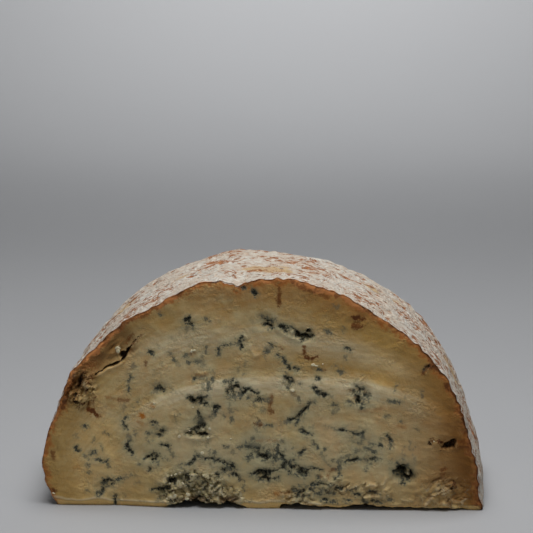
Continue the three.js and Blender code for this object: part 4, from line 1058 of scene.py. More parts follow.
def block_mesh(context):
    """A closed box of grid cells: its front becomes the broad cut, its top and ends the arch,
    its bottom side the foot and its back the flat rind face."""
    bpy.ops.object.select_all(action="DESELECT")
    bpy.ops.mesh.primitive_grid_add(x_subdivisions=COLUMNS, y_subdivisions=ROWS, size=2)
    block = context.object
    bpy.ops.object.mode_set(mode="EDIT")
    bpy.ops.mesh.select_mode(type="FACE")
    bpy.ops.mesh.select_all(action="SELECT")
    bpy.ops.mesh.extrude_region_move(TRANSFORM_OT_translate={"value": (0, 0, -1)})
    bpy.ops.mesh.select_mode(type="EDGE")
    select_in_edit_mesh(block, "edges", lambda e: abs(e.verts[0].co.z - e.verts[1].co.z) > 0.5)
    bpy.ops.mesh.subdivide(number_cuts=LAYERS - 1)
    bpy.ops.mesh.select_mode(type="FACE")
    select_in_edit_mesh(block, "faces", is_finer_face)
    bpy.ops.mesh.subdivide(number_cuts=1)
    select_in_edit_mesh(block, "faces", lambda f: all(v.co.z > -0.001 for v in f.verts))
    bpy.ops.mesh.subdivide(number_cuts=1)
    bpy.ops.mesh.select_all(action="SELECT")
    bpy.ops.mesh.normals_make_consistent(inside=False)
    bpy.ops.object.mode_set(mode="OBJECT")
    return block


def is_finer_face(face):
    """Whether a face of the block is off the foot and off the back, which stay coarser."""
    on_foot = all(v.co.y < -BLOCK_EDGE for v in face.verts)
    on_back = all(v.co.z < -BLOCK_EDGE for v in face.verts)
    return not on_foot and not on_back


def select_in_edit_mesh(edited, kind, wanted):
    """Selects the edges or faces that fit, and nothing else, in edit mode."""
    bpy.ops.mesh.select_all(action="DESELECT")
    mesh = bmesh.from_edit_mesh(edited.data)
    for element in getattr(mesh, kind):
        if wanted(element):
            element.select_set(True)
    mesh.select_flush_mode()
    bmesh.update_edit_mesh(edited.data)


def spots(angle, depth, places):
    """How much of a spot list lies at each point of the rind, 0 to 1."""
    most = np.zeros_like(angle)
    for at, spread, behind, across, strength in places:
        distance = np.hypot((angle - at) / spread, (depth - behind) / across)
        most = np.maximum(most, strength * (1 - smoothstep(distance, 0.35, 1.1)))
    return most


def specks(arc, depth, radius):
    """How far points of the rind lie inside the dark specks, in mm."""
    most = np.zeros_like(arc)
    for at, behind, half_width in RIND_SPECKS:
        distance = np.hypot(arc - math.radians(at) * radius, depth - behind)
        most = np.maximum(most, half_width + SPECK_EDGE - distance)
    return most


def white_lip(angle):
    """How much of the white lip hangs over the crust at an angle, 0 to 1."""
    most = np.zeros_like(angle)
    for at, spread in WHITE_LIP:
        most = np.maximum(most, 1 - smoothstep(np.abs(angle - at) / spread, 0.5, 1))
    return most


def crust_width(angle, arc):
    """Width of the brown line at an angle, made uneven along the arch."""
    width = np.interp(angle, [at for at, _ in CRUST_WIDTH], [wide for _, wide in CRUST_WIDTH])
    return width * (1 + grained(arc, 0 * arc, "crust width") + grained(arc, 0 * arc, "fine crust width"))


def into_part_frame(x, y, z):
    """Points of the wheel's frame in mm as points of the part's frame in metres."""
    return np.stack([x + WHEEL_AXIS_X, y + BROAD_CUT_Y, z], axis=1) * MM


def inside_cad_box(points):
    """Points held inside the CAD box by a hair, apart from the foot, which stays on the floor."""
    low = np.array(CAD_BOX[0]) + (BOX_MARGIN, BOX_MARGIN, 0)
    high = np.array(CAD_BOX[1]) - BOX_MARGIN
    return np.clip(points, low, high)


def block_places(grid, wheel):
    """Where the block's points go before the relief, by their places in the block from -1 to 1."""
    u = grid[:, 0]
    v = ((grid[:, 1] + 1) / 2) ** ROW_CROWDING
    t = np.round(np.clip(-grid[:, 2], 0, 1), 6)
    across = u * np.sqrt(1 - v * v / 2)
    up = v * np.sqrt(1 - u * u / 2)
    along = np.arctan2(up, across) / math.pi
    out = np.hypot(across, up)
    rim_start = 1 - RIM_LAYERS / LAYERS
    turn = np.radians(90) * np.clip((t - rim_start) / (1 - rim_start), 0, 1)
    straight = (wheel.depth - wheel.rim) * np.clip(t / rim_start, 0, 1) ** LAYER_CROWDING
    depth = np.where(t < rim_start, straight, wheel.depth - wheel.rim * (1 - np.sin(turn)))
    inset = wheel.rim * (1 - np.cos(turn))
    x, z, angle = wheel.place(along, out, np.round(depth, 6), np.round(inset, 6))
    return x, z, angle, out, depth, inset, t


def shape_cheese(mesh, sizes):
    """Moves the block's vertices onto the piece and stores what its materials read."""
    grid = np.empty(len(mesh.vertices) * 3)
    mesh.vertices.foreach_get("co", grid)
    grid = grid.reshape(-1, 3)
    wheel = Wheel(sizes)
    x, z, angle, out, depth, inset, t = block_places(grid, wheel)
    is_front = t == 0
    is_back = t == 1
    is_foot = (grid[:, 1] < -BLOCK_EDGE) & ~is_front & ~is_back

    face = Face(x, z, sizes)
    behind = -face.height
    back_wave = NOISES["back"][0] + grained(x, z, "back")
    knobs = grained(x, z, "back knob") + grained(x, z, "back bloom")
    y = depth + np.clip(1 - depth / EDGE_FADE, 0, 1) * behind
    y = np.where(is_foot, depth + np.clip(1 - depth / FOOT_FADE, 0, 1) * behind, y)
    y = np.where(is_back, wheel.depth - back_wave + knobs * smoothstep(1 - out, 0.0, 0.08), y)

    # The cut edge of the rind is rounded and a little ragged
    from_edge = (1 - out) * wheel.radius
    rounding = EDGE_ROUNDING * (1 + grained(angle, 0 * angle, "edge rounding"))
    y = np.where(is_front, y + rounding * np.exp(-from_edge / EDGE_REACH), y)
    place = inside_cad_box(into_part_frame(x, y, z))
    mesh.vertices.foreach_set("co", place.ravel())

    arc = np.radians(angle) * wheel.radius
    edge_depth = np.where(is_back, wheel.depth + from_edge, depth)
    stored = {name: getattr(face, name) for name in FACE_MEASURES}
    stored.update(
        mould=np.where(is_foot, NO_MOULD, face.mould),
        mould_near=face.blue * (is_front | is_foot),
        flake=-sunken_flake(x, z) / CRACK["sink"],
        # Where shade is painted in the crack
        split=smoothstep(face.split, 0.02, 0.45),
        foot=is_foot,
        from_rind=np.where(is_foot, FOOT_FROM_RIND, from_edge),
        across=x,
        foot_level=np.where(is_foot, 0, foot_level(x, z)),
        from_ledge=z - ledge_crest(x),
        pale_arc=pale_arc(x, z),
        arc=arc,
        behind=edge_depth,
        flat_back=smoothstep(inset, 2, wheel.rim),
        rust=spots(angle, edge_depth, RIND_RUST),
        bare=spots(angle, edge_depth, RIND_BARE),
        speck=specks(arc, edge_depth, wheel.radius),
        lip=white_lip(angle),
        crust_width=crust_width(angle, arc),
    )
    for name, values in stored.items():
        attribute = mesh.attributes.new(name, "FLOAT", "POINT")
        attribute.data.foreach_set("value", np.ascontiguousarray(values, dtype=np.float32))
    return is_front, is_foot


def add(tree, kind, sockets=None, **settings):
    """Adds a node, with its settings, and its sockets set to values or linked to outputs."""
    made = tree.nodes.new(kind)
    for name, value in settings.items():
        setattr(made, name, value)
    for key, value in (sockets or {}).items():
        if isinstance(value, bpy.types.NodeSocket):
            tree.links.new(value, made.inputs[key])
        else:
            made.inputs[key].default_value = value
    return made


def new_material(name, reads=()):
    """A new material, its empty tree, the place on the piece and the stored measures it reads."""
    material = bpy.data.materials.new(name)
    material.use_nodes = True
    tree = material.node_tree
    tree.nodes.clear()
    place = add(tree, "ShaderNodeTexCoord").outputs["Object"]
    stored = {key: add(tree, "ShaderNodeAttribute", attribute_name=key).outputs["Fac"] for key in reads}
    return material, tree, place, stored


def product(tree, *parts):
    """The product of numbers, outputs and ramps. A ramp (value, low, high) goes from 0 to 1,
    with soft ends, as its value goes from low to high."""
    result = None
    for part in parts:
        if isinstance(part, tuple):
            ramp = add(tree, "ShaderNodeMapRange", dict(enumerate(part)), interpolation_type="SMOOTHSTEP")
            part = ramp.outputs[0]
        if result is not None:
            part = add(tree, "ShaderNodeMath", {0: result, 1: part}, operation="MULTIPLY").outputs[0]
        result = part
    return result


def weighted(tree, total, *terms):
    """A value with other values added to it, each times its weight."""
    for value, weight in terms:
        sockets = {0: value, 1: weight, 2: total}
        total = add(tree, "ShaderNodeMath", sockets, operation="MULTIPLY_ADD").outputs[0]
    return total


def patches(tree, place, grain, low, high, detail=2.0, roughness=0.5):
    """Soft patches about one grain, in mm, across: 0 where the noise is below low, 1 above high."""
    sockets = {"Vector": place, "Scale": 1 / (grain * MM), "Detail": detail, "Roughness": roughness}
    return product(tree, (add(tree, "ShaderNodeTexNoise", sockets).outputs[0], low, high))


def level_lines(tree, pattern, level, half_width):
    """Thin lines where a pattern passes a level, with a soft edge."""
    off = weighted(tree, -level, (pattern, 1.0))
    off = add(tree, "ShaderNodeMath", {0: off}, operation="ABSOLUTE").outputs[0]
    return product(tree, (off, half_width, LINE_CORE))


def stretched(tree, along, across, share):
    """A place in metres from two measures in mm, on which patterns are drawn out along the first."""
    sockets = {0: product(tree, along, share * MM), 1: product(tree, across, MM)}
    return add(tree, "ShaderNodeCombineXYZ", sockets).outputs[0]


def toned(tones, colour):
    """The linear colour of a tone given by its name; any other colour stays as it is."""
    return linear(getattr(tones, colour)) if isinstance(colour, str) else colour


def layered(tree, tones, colour, layers):
    """A colour with others laid over it in turn, each as far as the product of its parts says."""
    colour = toned(tones, colour)
    for over, *parts in layers:
        sockets = {0: product(tree, *parts), 6: colour, 7: toned(tones, over)}
        colour = add(tree, "ShaderNodeMix", sockets, data_type="RGBA").outputs[2]
    return colour


def surface(tree, sockets, bump=None):
    """The shader with its sockets, over a bump of a strength, a distance in mm and a height."""
    if bump:
        strength, distance, height = bump
        relief = {"Strength": strength, "Distance": distance * MM, "Height": height}
        sockets["Normal"] = add(tree, "ShaderNodeBump", relief).outputs[0]
    shader = add(tree, "ShaderNodeBsdfPrincipled", sockets)
    add(tree, "ShaderNodeOutputMaterial", {"Surface": shader.outputs[0]})


def paste_material(tones):
    """Cut paste of a blue cow's cheese: fatty and moist, so it is half matt, lets a little
    light in, and turns translucent and darker where it dries under the rind. The mould
    stains it blue-green and leaves crumbling hollows that are nearly black inside, partly
    through painted shade. Painted highlight and shade also lie on crumbs, crests and gaps."""
    material, tree, place, at = new_material("cut blue cheese paste", PASTE_READS)
    pattern = {name: patches(tree, place, *values) for name, values in PASTE_PATTERNS.items()}
    mottle = pattern["mottle"]
    # Patterns that add and take away alike
    signed = ("wobble", "clumps", "grains")
    fine, clumps, grains = [weighted(tree, -0.5, (pattern[name], 1.0)) for name in signed]

    # Measures that the regions of the cut are given by
    at["height"] = product(tree, add(tree, "ShaderNodeSeparateXYZ", {0: place}).outputs[2], 1 / MM)
    at["crag_line"] = weighted(tree, at["height"], (at["across"], CRAG_SLOPE))
    at["uneven_rind"] = weighted(tree, at["from_rind"], (mottle, 5.0))
    region = {}
    for name, ramps in REGIONS.items():
        region[name] = product(tree, *[(at[measure], low, high) for measure, low, high in ramps])
    raised_end = region["raised end"]
    right = product(tree, region["right"], weighted(tree, 1.0, (raised_end, -0.5)))
    far_right = product(tree, region["far right"], weighted(tree, 1.0, (raised_end, -0.9)))

    # The crust, and what lies just inside it
    strata = patches(tree, stretched(tree, at["arc"], at["from_rind"], 0.09), 1.9, 0.35, 0.68, 3.0, 0.6)
    by_crust = (weighted(tree, at["uneven_rind"], (strata, 2.0)), 9.0, 3.0)
    rusty = product(tree, (weighted(tree, at["uneven_rind"], (clumps, 3.0)), 7.0, 2.0))
    crust_edge = weighted(tree, at["from_rind"], (fine, 0.9), (clumps, 0.9), (at["crust_width"], -1.0))
    crust = product(tree, (crust_edge, 0.7, -0.9))
    crust_shades = {
        0: product(tree, region["dark crust"], (mottle, -0.9, 0.5)),
        1: product(tree, (mottle, 0.35, 0.75), 0.65),
    }
    dark_crust = add(tree, "ShaderNodeMath", crust_shades, operation="MAXIMUM").outputs[0]
    lip = product(tree, (weighted(tree, at["from_rind"], (clumps, 0.7)), 1.1, 0.4), at["lip"])

    # The hollows near the rind hold brown crust, not mould
    brown_places = {0: region["crag side"], 1: region["right end"]}
    brown_hollows = add(tree, "ShaderNodeMath", brown_places, operation="MAXIMUM").outputs[0]
    mouldy = weighted(tree, 1.0, (brown_hollows, -1.0))
    near = product(tree, at["mould_near"], mouldy)
    core_and_shade_colour = layered(tree, tones, "mould_core", [("hollow_brown", brown_hollows)])
    mould_colour = layered(tree, tones, "mould", [("rust_brown", brown_hollows)])

    # Mould: its drawn marks, their smeared edges, and lines on the foot cut, which has no marks
    mould = weighted(tree, at["mould"], (fine, 1.3), (clumps, 1.2), (grains, 1.7))
    darkness = at["mould_darkness"]
    lines = {"Vector": place, "Scale": 1 / (11 * MM), "Detail": 3.0, "Roughness": 0.55, "Distortion": 1.2}
    foot_lines = level_lines(tree, add(tree, "ShaderNodeTexNoise", lines).outputs[0], 0.52, 0.022)
    smear = product(tree, (mould, -2.6, 0.3), (darkness, 0.0, 0.8), mouldy)
    mould_masks = {
        0: product(tree, (mould, -0.65, 0.6), (darkness, 0.0, 0.7)),
        1: product(tree, foot_lines, pattern["foot mould area"], at["foot"]),
    }
    veins = add(tree, "ShaderNodeMath", mould_masks, operation="MAXIMUM").outputs[0]
    cores = product(tree, (mould, 0.0, 1.0), (darkness, 0.45, 0.9))

    # Rust stains, with darker hearts where they aren't orange
    stain_edge = weighted(tree, at["stain"], (fine, 1.4), (clumps, 1.0))
    stain = product(tree, (stain_edge, -1.5, 0.9), at["stain_strength"])
    stain_heart = product(tree, (stain_edge, -0.9, 0.9), at["stain_strength"])
    stain_heart = product(tree, stain_heart, (at["stain_orange"], 0.6, 0.2))
    stain_colour = layered(tree, tones, "rust_brown", [("rust_orange", at["stain_orange"])])

    # Crumbs: lumps with painted highlight on their tops, and gaps darkened with mould and painted shade
    swirl = add(tree, "ShaderNodeTexNoise", {"Vector": place, "Scale": 1 / (3 * MM)}).outputs[1]
    swirled = add(tree, "ShaderNodeMix", {0: 0.003, 4: place, 5: swirl}, data_type="VECTOR").outputs[1]
    lumps = add(tree, "ShaderNodeTexVoronoi", {"Vector": swirled, "Scale": 1 / (5.4 * MM)}).outputs[0]
    crumbly = product(tree, (weighted(tree, at["crumbly"], (clumps, 0.5)), 0.2, 0.7))
    crumb_top_highlights = product(tree, at["crumb_top"], (mottle, -0.6, 0.7), 0.95)

    # Torn crests low at the right: a pale line of painted highlight, with painted brown shade under it
    tears = {"Vector": place, "Scale": 1 / (9 * MM), "Detail": 4.0, "Roughness": 0.62, "Distortion": 0.8}
    torn = add(tree, "ShaderNodeTexNoise", tears).outputs[0]
    torn_crest = product(tree, level_lines(tree, torn, 0.5, 0.026), region["torn crests"])
    torn_shade = product(tree, (torn, 0.495, 0.47), (torn, 0.38, 0.46), region["torn crests"])

    wisps = patches(tree, stretched(tree, at["across"], at["from_ledge"], 0.22), 3.6, 0.4, 0.7, 4.0, 0.6)
    layers = [
        ("paste", mottle),
        ("paste_light", pattern["cloud"], 0.35),
        ("paste_rosy", pattern["smudge"], 0.5),
        ("paste_warm", region["above the ledge"], 0.75),
        ("paste_light", at["pale_arc"], 0.62),
        ("paste_left", region["left"], 0.55),
        ("foot_glow", region["pale left"], 0.5),
        ("paste_amber", region["right shoulder"], 0.26),
        ("paste_cool", (near, 0.1, 0.95), (mottle, -0.9, 0.9), 0.6),
        ("paste_cool", pattern["speckle"], 0.2, region["speckled"]),
        # Painted highlight in the band under the ledge's crest
        ("paste_light", region["band"], 0.75),
        ("paste_warm", wisps, region["wisps"], 0.4),
        ("paste_left", region["low paste"], 0.4),
        ("paste_dry", region["under the rind"], 0.55),
        # Dry brown paste towards the right end, with painted shade where the light falls off to the right
        ("paste_right", right, 0.85),
        ("paste_far_right", far_right, 0.8),
        ("paste_by_crust", by_crust, 0.7),
        ("crust_glow", rusty, 0.85),
        ("crust_glow", region["top"], 0.4),
        ("flake", region["left shoulder"], 0.25),
        ("flake", at["flake"], 0.85),
        ("rust_brown", at["flake"], fine, 0.9),
        ("flake", region["crags"], 0.5),
        ("rust_brown", region["crags"], pattern["wobble"], 0.8),
        # Painted glow: a bright warm tone under the crest of the pressed lower edge, which faces down
        ("foot_glow", (at["foot_level"], 1.0, 0.6), 0.85),
        # Painted highlight on the crest over the pressed lower edge
        ("paste_light", region["crest highlight"], 0.45),
        ("crumbly", crumbly, 0.5),
        # Painted highlight on the middles of the lumps
        ("curd", crumbly, (lumps, 0.5, 0.2), pattern["lump area"], 0.7),
        # Pale curd on the ridges, partly painted highlight
        ("curd", (at["ridge"], 0.3, 1.5), region["pale ridges"], 0.45),
        # Painted brown shade under the torn crests, and painted highlight along them
        ("rust_brown", torn_shade, 0.3),
        ("curd", torn_crest, 0.35),
        (stain_colour, stain),
        ("crust_dark", stain_heart, 0.8),
        ("mould_halo", (near, 0.35, 1.0), region["deep stain"], (mottle, -0.3, 0.8), 0.26),
        ("mould_halo", smear, 0.55),
        (mould_colour, veins),
        # Mould and painted shade between the lumps
        ("mould_deep", crumbly, (lumps, 0.5, 0.75), pattern["lump gap area"], 0.2),
        # Painted highlight on the crumbs' tops
        ("crumbly", crumb_top_highlights),
        ("curd", crumb_top_highlights, (clumps, -0.3, 0.3)),
        # Mould and painted shade in the low gaps between the crumbs
        ("mould_core", at["gap"], 0.24),
        # Painted brown shade in the gaps of crumbs and torn layers
        ("paste_far_right", at["brown_gap"], 0.6),
        # Painted shade in the recesses over the left gap
        ("crust_dark", at["recess"], 0.6),
        # Painted shadow in the gaps under the front edge
        ("mould_core", at["under_foot"], 0.8),
        (core_and_shade_colour, cores),
        # Dark mould and painted shade in the carved hollows
        (core_and_shade_colour, at["hollow"], 0.45),
        ("crumbly", veins, (pattern["grain"], 0.6, 0.8), 0.4),
        # Painted shade in the crack, over the lit lower wall
        ("hollow_brown", at["split"], 0.9),
        ("crust_dark", rusty, far_right, 0.7),
        ("crust", crust),
        ("crust_dark", crust, dark_crust),
        ("bloom", lip, 0.8),
    ]
    height = weighted(
        tree,
        0.0,
        (mottle, 0.5),
        (pattern["grain"], 0.2),
        (product(tree, weighted(tree, at["crumbly"], (veins, 1.0)), pattern["wobble"]), 1.0),
        (product(tree, clumps, pattern["rough area"]), 0.8),
        (product(tree, crumbly, lumps), -2.2),
        (veins, -0.5),
        (product(tree, (torn, 0.44, 0.56), region["torn crests"]), 0.9),
        (torn_crest, 0.9),
    )
    wetness = {0: weighted(tree, mottle, (veins, 1.0)), 3: 0.42, 4: 0.68}
    sockets = {
        "Base Color": layered(tree, tones, "paste_deep", layers),
        "Roughness": add(tree, "ShaderNodeMapRange", wetness).outputs[0],
        "IOR": 1.45,
        "Specular IOR Level": 0.2,
        "Subsurface Weight": 0.12,
        "Subsurface Radius": (1.0, 0.55, 0.25),
        "Subsurface Scale": 0.003,
    }
    surface(tree, sockets, (0.8, 0.9, height))
    return material


def rind_material(tones):
    """Dry rind under a powdery white bloom. The bloom lies in wrinkles along the arch, and
    rust-brown skin shows where it is thin. It is matt and rough all over."""
    material, tree, place, at = new_material("bloomed cheese rind", RIND_READS)
    powder, cloud, blotch = [patches(tree, place, *values) for values in RIND_CLOUDS]
    on_back = (weighted(tree, at["flat_back"], (powder, 0.5)), 0.74, 0.76)
    sockets = {0: product(tree, on_back), 4: stretched(tree, at["arc"], at["behind"], 0.5), 5: place}
    wrapped = add(tree, "ShaderNodeMix", sockets, data_type="VECTOR").outputs[1]
    broad, streaks, scratches, crumbs = [patches(tree, wrapped, *values) for values in RIND_STREAKS]

    rust_area = weighted(tree, 0.23, (at["rust"], 1.0), (blotch, 0.4))
    rust = product(tree, rust_area, broad, weighted(tree, 0.3, (streaks, 0.9)))
    rust = product(tree, (rust, 0.13, 0.36), 0.95)
    layers = [
        ("bloom", cloud),
        ("rind_ochre", (weighted(tree, at["bare"], (crumbs, -0.35)), 0.05, 0.5), 0.85),
        ("rind_tan", streaks, (rust_area, -0.4, 0.8), 0.6),
        ("rind_tan", scratches, 0.28),
        ("rind_rust", rust),
        ("rind_rust_deep", rust, streaks, 0.8),
        ("rind_speck", (weighted(tree, at["speck"], (powder, -0.6)), 0.1, 0.8), 0.8),
    ]
    height = weighted(tree, 0.0, (powder, 0.5), (streaks, -0.5), (broad, -0.5), (crumbs, 0.9))
    sockets = {
        "Base Color": layered(tree, tones, "bloom_pink", layers),
        "Roughness": 0.86,
        "IOR": 1.4,
        "Specular IOR Level": 0.25,
        "Sheen Weight": 0.15,
        "Sheen Roughness": 0.6,
    }
    surface(tree, sockets, (0.95, 1.2, height))
    return material


def curd_material(tones):
    """Loose curd: the driest, whitest bits of the paste, matt and slightly translucent."""
    material, tree, place, _ = new_material("white cheese curd")
    sockets = {
        "Base Color": layered(
            tree, tones, "curd", [("paste_light", patches(tree, place, 1.6, 0.35, 0.7, 3.0), 0.5)]
        ),
        "Roughness": 0.6,
        "IOR": 1.45,
        "Subsurface Weight": 0.15,
        "Subsurface Radius": (1.0, 0.6, 0.3),
        "Subsurface Scale": 0.002,
    }
    surface(tree, sockets, (0.5, 0.4, patches(tree, place, 0.5, 0.2, 0.8, 3.0)))
    return material


def stage_material(name, colour):
    """Matt painted board: plain, a touch uneven, so that light falls off it softly."""
    material, tree, place, _ = new_material(name)
    uneven = patches(tree, place, 220, 0.3, 0.7, 2.0)
    shade = layered(tree, None, linear(colour), [((0.5, 0.5, 0.5, 1.0), uneven, 0.04)])
    surface(tree, {"Base Color": shade, "Roughness": 0.7})
    return material


def metres(name, description, default):
    """A length in metres that a user can change."""
    return FloatProperty(name=name, description=description, default=default, unit="LENGTH")


def factor(name, description, default):
    """A strength that a user can change, 1 as it is meant."""
    return FloatProperty(name=name, description=description, default=default, subtype="FACTOR")


def tone(name, description, default):
    """An sRGB hex colour that a user can change."""
    return StringProperty(name=name, description=description, default=default)


class CheeseSizes(bpy.types.PropertyGroup):
    """Sizes of the wheel, the piece and its finish."""

    wheel_radius: metres("Wheel radius", "Mean radius of the wheel's rind", 0.1404)
    axis_height: metres("Axis height", "Height of the wheel's axis over the foot cut", AXIS_HEIGHT)
    piece_depth: metres("Piece depth", "From the broad cut to the flat rind face", 0.09)
    rim_radius: metres("Rim radius", "Rounding of the wheel's rim at the back", 0.014)
    mould_depth: metres("Mould depth", "How deep the mould's own marks are torn out", 0.0011)
    ridge_height: factor("Ridges", "How far pressed ridges of curd stand out", 0.8)
    wrinkles: factor("Rind wrinkles", "Strength of the rind's fine relief", 1.0)
    chance_curds: IntProperty(
        name="Small curds", description="Small curds strewn over the crumbly places", default=CURDS_BY_CHANCE
    )


class CheeseTones(bpy.types.PropertyGroup):
    """Colours of the paste, the mould, the curds and the rind, as sRGB hex values."""

    paste: tone("Paste", "Main colour of the cut", "#dcc48c")
    paste_deep: tone("Paste, deep", "Darker clouds in the paste", "#c8ab72")
    # Pale paste and highlight: pale clouds, the pale arc and the curds' patches, and the painted highlight
    # of the band under the ledge and of the lower edge's crest
    paste_light: tone("Paste, light", "Pale band and pale clouds", "#ecdeb8")
    paste_rosy: tone("Paste, rosy", "Rosier clouds in the paste", "#d0a46c")
    paste_cool: tone("Paste, cool", "Greenish paste near the mould", "#c6c09c")
    paste_warm: tone("Paste, warm", "Dry translucent paste above the ledge", "#be944e")
    paste_amber: tone("Paste, amber", "Amber paste by the right shoulder", "#ffc85a")
    paste_left: tone("Paste, left", "Paste towards the left foot", "#c09852")
    # Right end: dry brown paste with painted shade where the light falls off to the right; the far-right
    # tone is also painted shade in crumb and layer gaps
    paste_right: tone("Paste, right", "Paste towards the right end", "#966224")
    paste_far_right: tone("Paste, far right", "Brown dry paste at the right end", "#6c400e")
    paste_dry: tone("Paste, dry", "Paste a finger's width inside the rind", "#b6904c")
    paste_by_crust: tone("Paste by the crust", "Last few millimetres of paste", "#be8c50")
    flake: tone("Flake", "Dry brown paste of the sunken flake and the crags", "#8d6a3c")
    # Warm paste and painted glow: the glow under the lower edge's crest is painted in this tone, which also
    # lightens the paste at the left
    foot_glow: tone("Foot glow", "Warm translucent lower edge", "#ffd68c")
    crust_glow: tone("Crust glow", "Rust-brown paste just inside the crust", "#b06a30")
    crust: tone("Crust", "Thin brown line of the cut rind", "#cc8850")
    # Dark crust and the hearts of brown stains, and the painted shade of the recesses over the left gap
    crust_dark: tone("Crust, dark", "The cut rind at the right end", "#6a3d1a")
    # Curd: white curds, and the painted highlight on crumb tops, lumps, ridges and torn crests
    curd: tone("Curd", "White curds and ridges", "#e4d8b6")
    crumbly: tone("Crumbly paste", "Paste of the crumbly places", "#dac996")
    mould_halo: tone("Mould stain", "Grey-green stain round the mould", "#87866a")
    mould: tone("Mould", "Blue-green mould", "#656a5f")
    # Deep mould and painted shade between the lumps of the crumbly places
    mould_deep: tone("Mould, deep", "Darker mould between the crumbs", "#41443b")
    # Black mould, and the painted shade in mould hollows, between crumbs and under the front edge
    mould_core: tone("Mould core", "Nearly black mould in the hollows", "#282a26")
    # Dark brown crust in the hollows near the rind, and the painted shade in the crack
    hollow_brown: tone("Hollow, brown", "Dark crust in the hollows near the rind", "#35200f")
    rust_brown: tone("Brown stain", "Brown stains in the paste", "#7e4a23")
    rust_orange: tone("Orange stain", "Orange stains in the paste", "#bb721c")
    bloom: tone("Bloom", "White bloom of the rind", "#efebdf")
    bloom_pink: tone("Bloom, pink", "Pinkish bloom of the rind", "#e6dac8")
    rind_tan: tone("Rind, tan", "Skin just under thin bloom", "#d3a57c")
    rind_ochre: tone("Rind, ochre", "Skin where the bloom is rubbed off", "#dbb981")
    rind_rust: tone("Rind, rust", "Rust-brown streaks", "#bd7638")
    rind_rust_deep: tone("Rind, deep rust", "Hearts of the rust-brown streaks", "#9c5d2b")
    rind_speck: tone("Rind speck", "Small dark specks", "#6e5240")


class StageSettings(bpy.types.PropertyGroup):
    """Camera, floor and light."""

    camera_place: FloatVectorProperty(
        name="Camera",
        description="Where the camera stands",
        default=(0.05418, -1.33307, 0.4647),
        subtype="TRANSLATION",
    )
    camera_turn: FloatVectorProperty(
        name="Camera turn",
        description="How the camera is turned",
        default=(math.radians(76.691), 0.0, math.radians(2.306)),
        subtype="EULER",
    )
    lens: FloatProperty(name="Lens", description="Focal length in mm on a 36 mm sensor", default=143.3)
    key_power: FloatProperty(
        name="Key light", description="Soft light overhead", default=14.2, subtype="POWER"
    )
    back_power: FloatProperty(
        name="Back light", description="Light on the backdrop", default=5.5, subtype="POWER"
    )
    sky: FloatProperty(name="Sky", description="Brightness of the grey surroundings", default=0.12)


def finish_piece(piece, materials):
    """The piece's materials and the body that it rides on."""
    for material in materials:
        piece.data.materials.append(material)
    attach(piece, "root")


def rind_faces(mesh, is_front, is_foot):
    """1 for each face that is rind, 0 for each on the broad cut or the foot cut."""
    loops = np.empty(len(mesh.loops), dtype=np.int32)
    mesh.loops.foreach_get("vertex_index", loops)
    on_cut = is_front | is_foot
    slots = []
    for polygon in mesh.polygons:
        corners = loops[polygon.loop_start : polygon.loop_start + polygon.loop_total]
        on_foot = polygon.normal.z < -0.9 and on_cut[corners].any()
        slots.append(0 if is_front[corners].all() or on_foot else 1)
    return slots


class CHEESE_OT_quarter(bpy.types.Operator):
    """Make the quarter of cheese: paste, rind and all that is torn into the cut"""

    bl_idname = "cheese.quarter"
    bl_label = "Quarter of the wheel"

    def execute(self, context):
        sizes = context.scene.cheese_sizes
        tones = context.scene.cheese_tones
        piece = block_mesh(context)
        piece.name = "quarter"
        is_front, is_foot = shape_cheese(piece.data, sizes)
        finish_piece(piece, [paste_material(tones), rind_material(tones)])
        piece.data.polygons.foreach_set("material_index", rind_faces(piece.data, is_front, is_foot))
        bpy.ops.object.select_all(action="DESELECT")
        piece.select_set(True)
        context.view_layer.objects.active = piece
        bpy.ops.object.shade_smooth_by_angle(angle=math.radians(SMOOTH_ANGLE))
        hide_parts(NODE)
        if len(piece.data.polygons) < COLUMNS * ROWS:
            raise RuntimeError("the piece has lost its faces")
        return {"FINISHED"}


def curd_places(sizes):
    """Where curds stick to the cut: the placed ones, then small ones by chance."""
    draw = random.Random(5)
    places = list(CURDS)
    while len(places) < len(CURDS) + sizes.chance_curds:
        x, z, half_width, half_height = draw.choice(CRUMBLY[:CURD_PATCHES])[:4]
        curd_x = x + half_width * draw.uniform(-0.8, 0.8)
        curd_z = max(LOWEST_CURD, z + half_height * draw.uniform(-0.8, 0.8))
        places.append((curd_x, curd_z, draw.uniform(*SMALL_CURDS)))
    return places


class CHEESE_OT_curds(bpy.types.Operator):
    """Make the white curds that stick to the cut, as one joined mesh"""

    bl_idname = "cheese.curds"
    bl_label = "Curds"

    def execute(self, context):
        sizes = context.scene.cheese_sizes
        tones = context.scene.cheese_tones
        draw = random.Random(8)
        places = curd_places(sizes)
        x = np.array([p[0] for p in places])
        z = np.array([p[1] for p in places])
        height = Face(x, z, sizes).height
        bpy.ops.object.select_all(action="DESELECT")
        made = []
        for (at_x, at_z, width), proud in zip(places, height):
            at = into_part_frame(np.array([at_x]), np.array([-proud]), np.array([at_z]))[0]
            bpy.ops.mesh.primitive_ico_sphere_add(subdivisions=3, radius=width / 2 * MM, location=tuple(at))
            curd = context.object
            bpy.ops.object.transform_apply(location=True, rotation=True, scale=True)
            shape_curd(curd.data, Vector(at), draw)
            made.append(curd)
        for curd in made:
            curd.select_set(True)
        context.view_layer.objects.active = made[0]
        bpy.ops.object.join()
        curds = context.object
        curds.name = "curds"
        bpy.ops.object.shade_smooth()
        finish_piece(curds, [curd_material(tones)])
        if len(curds.data.vertices) < len(places):
            raise RuntimeError("the curds were not made")
        return {"FINISHED"}


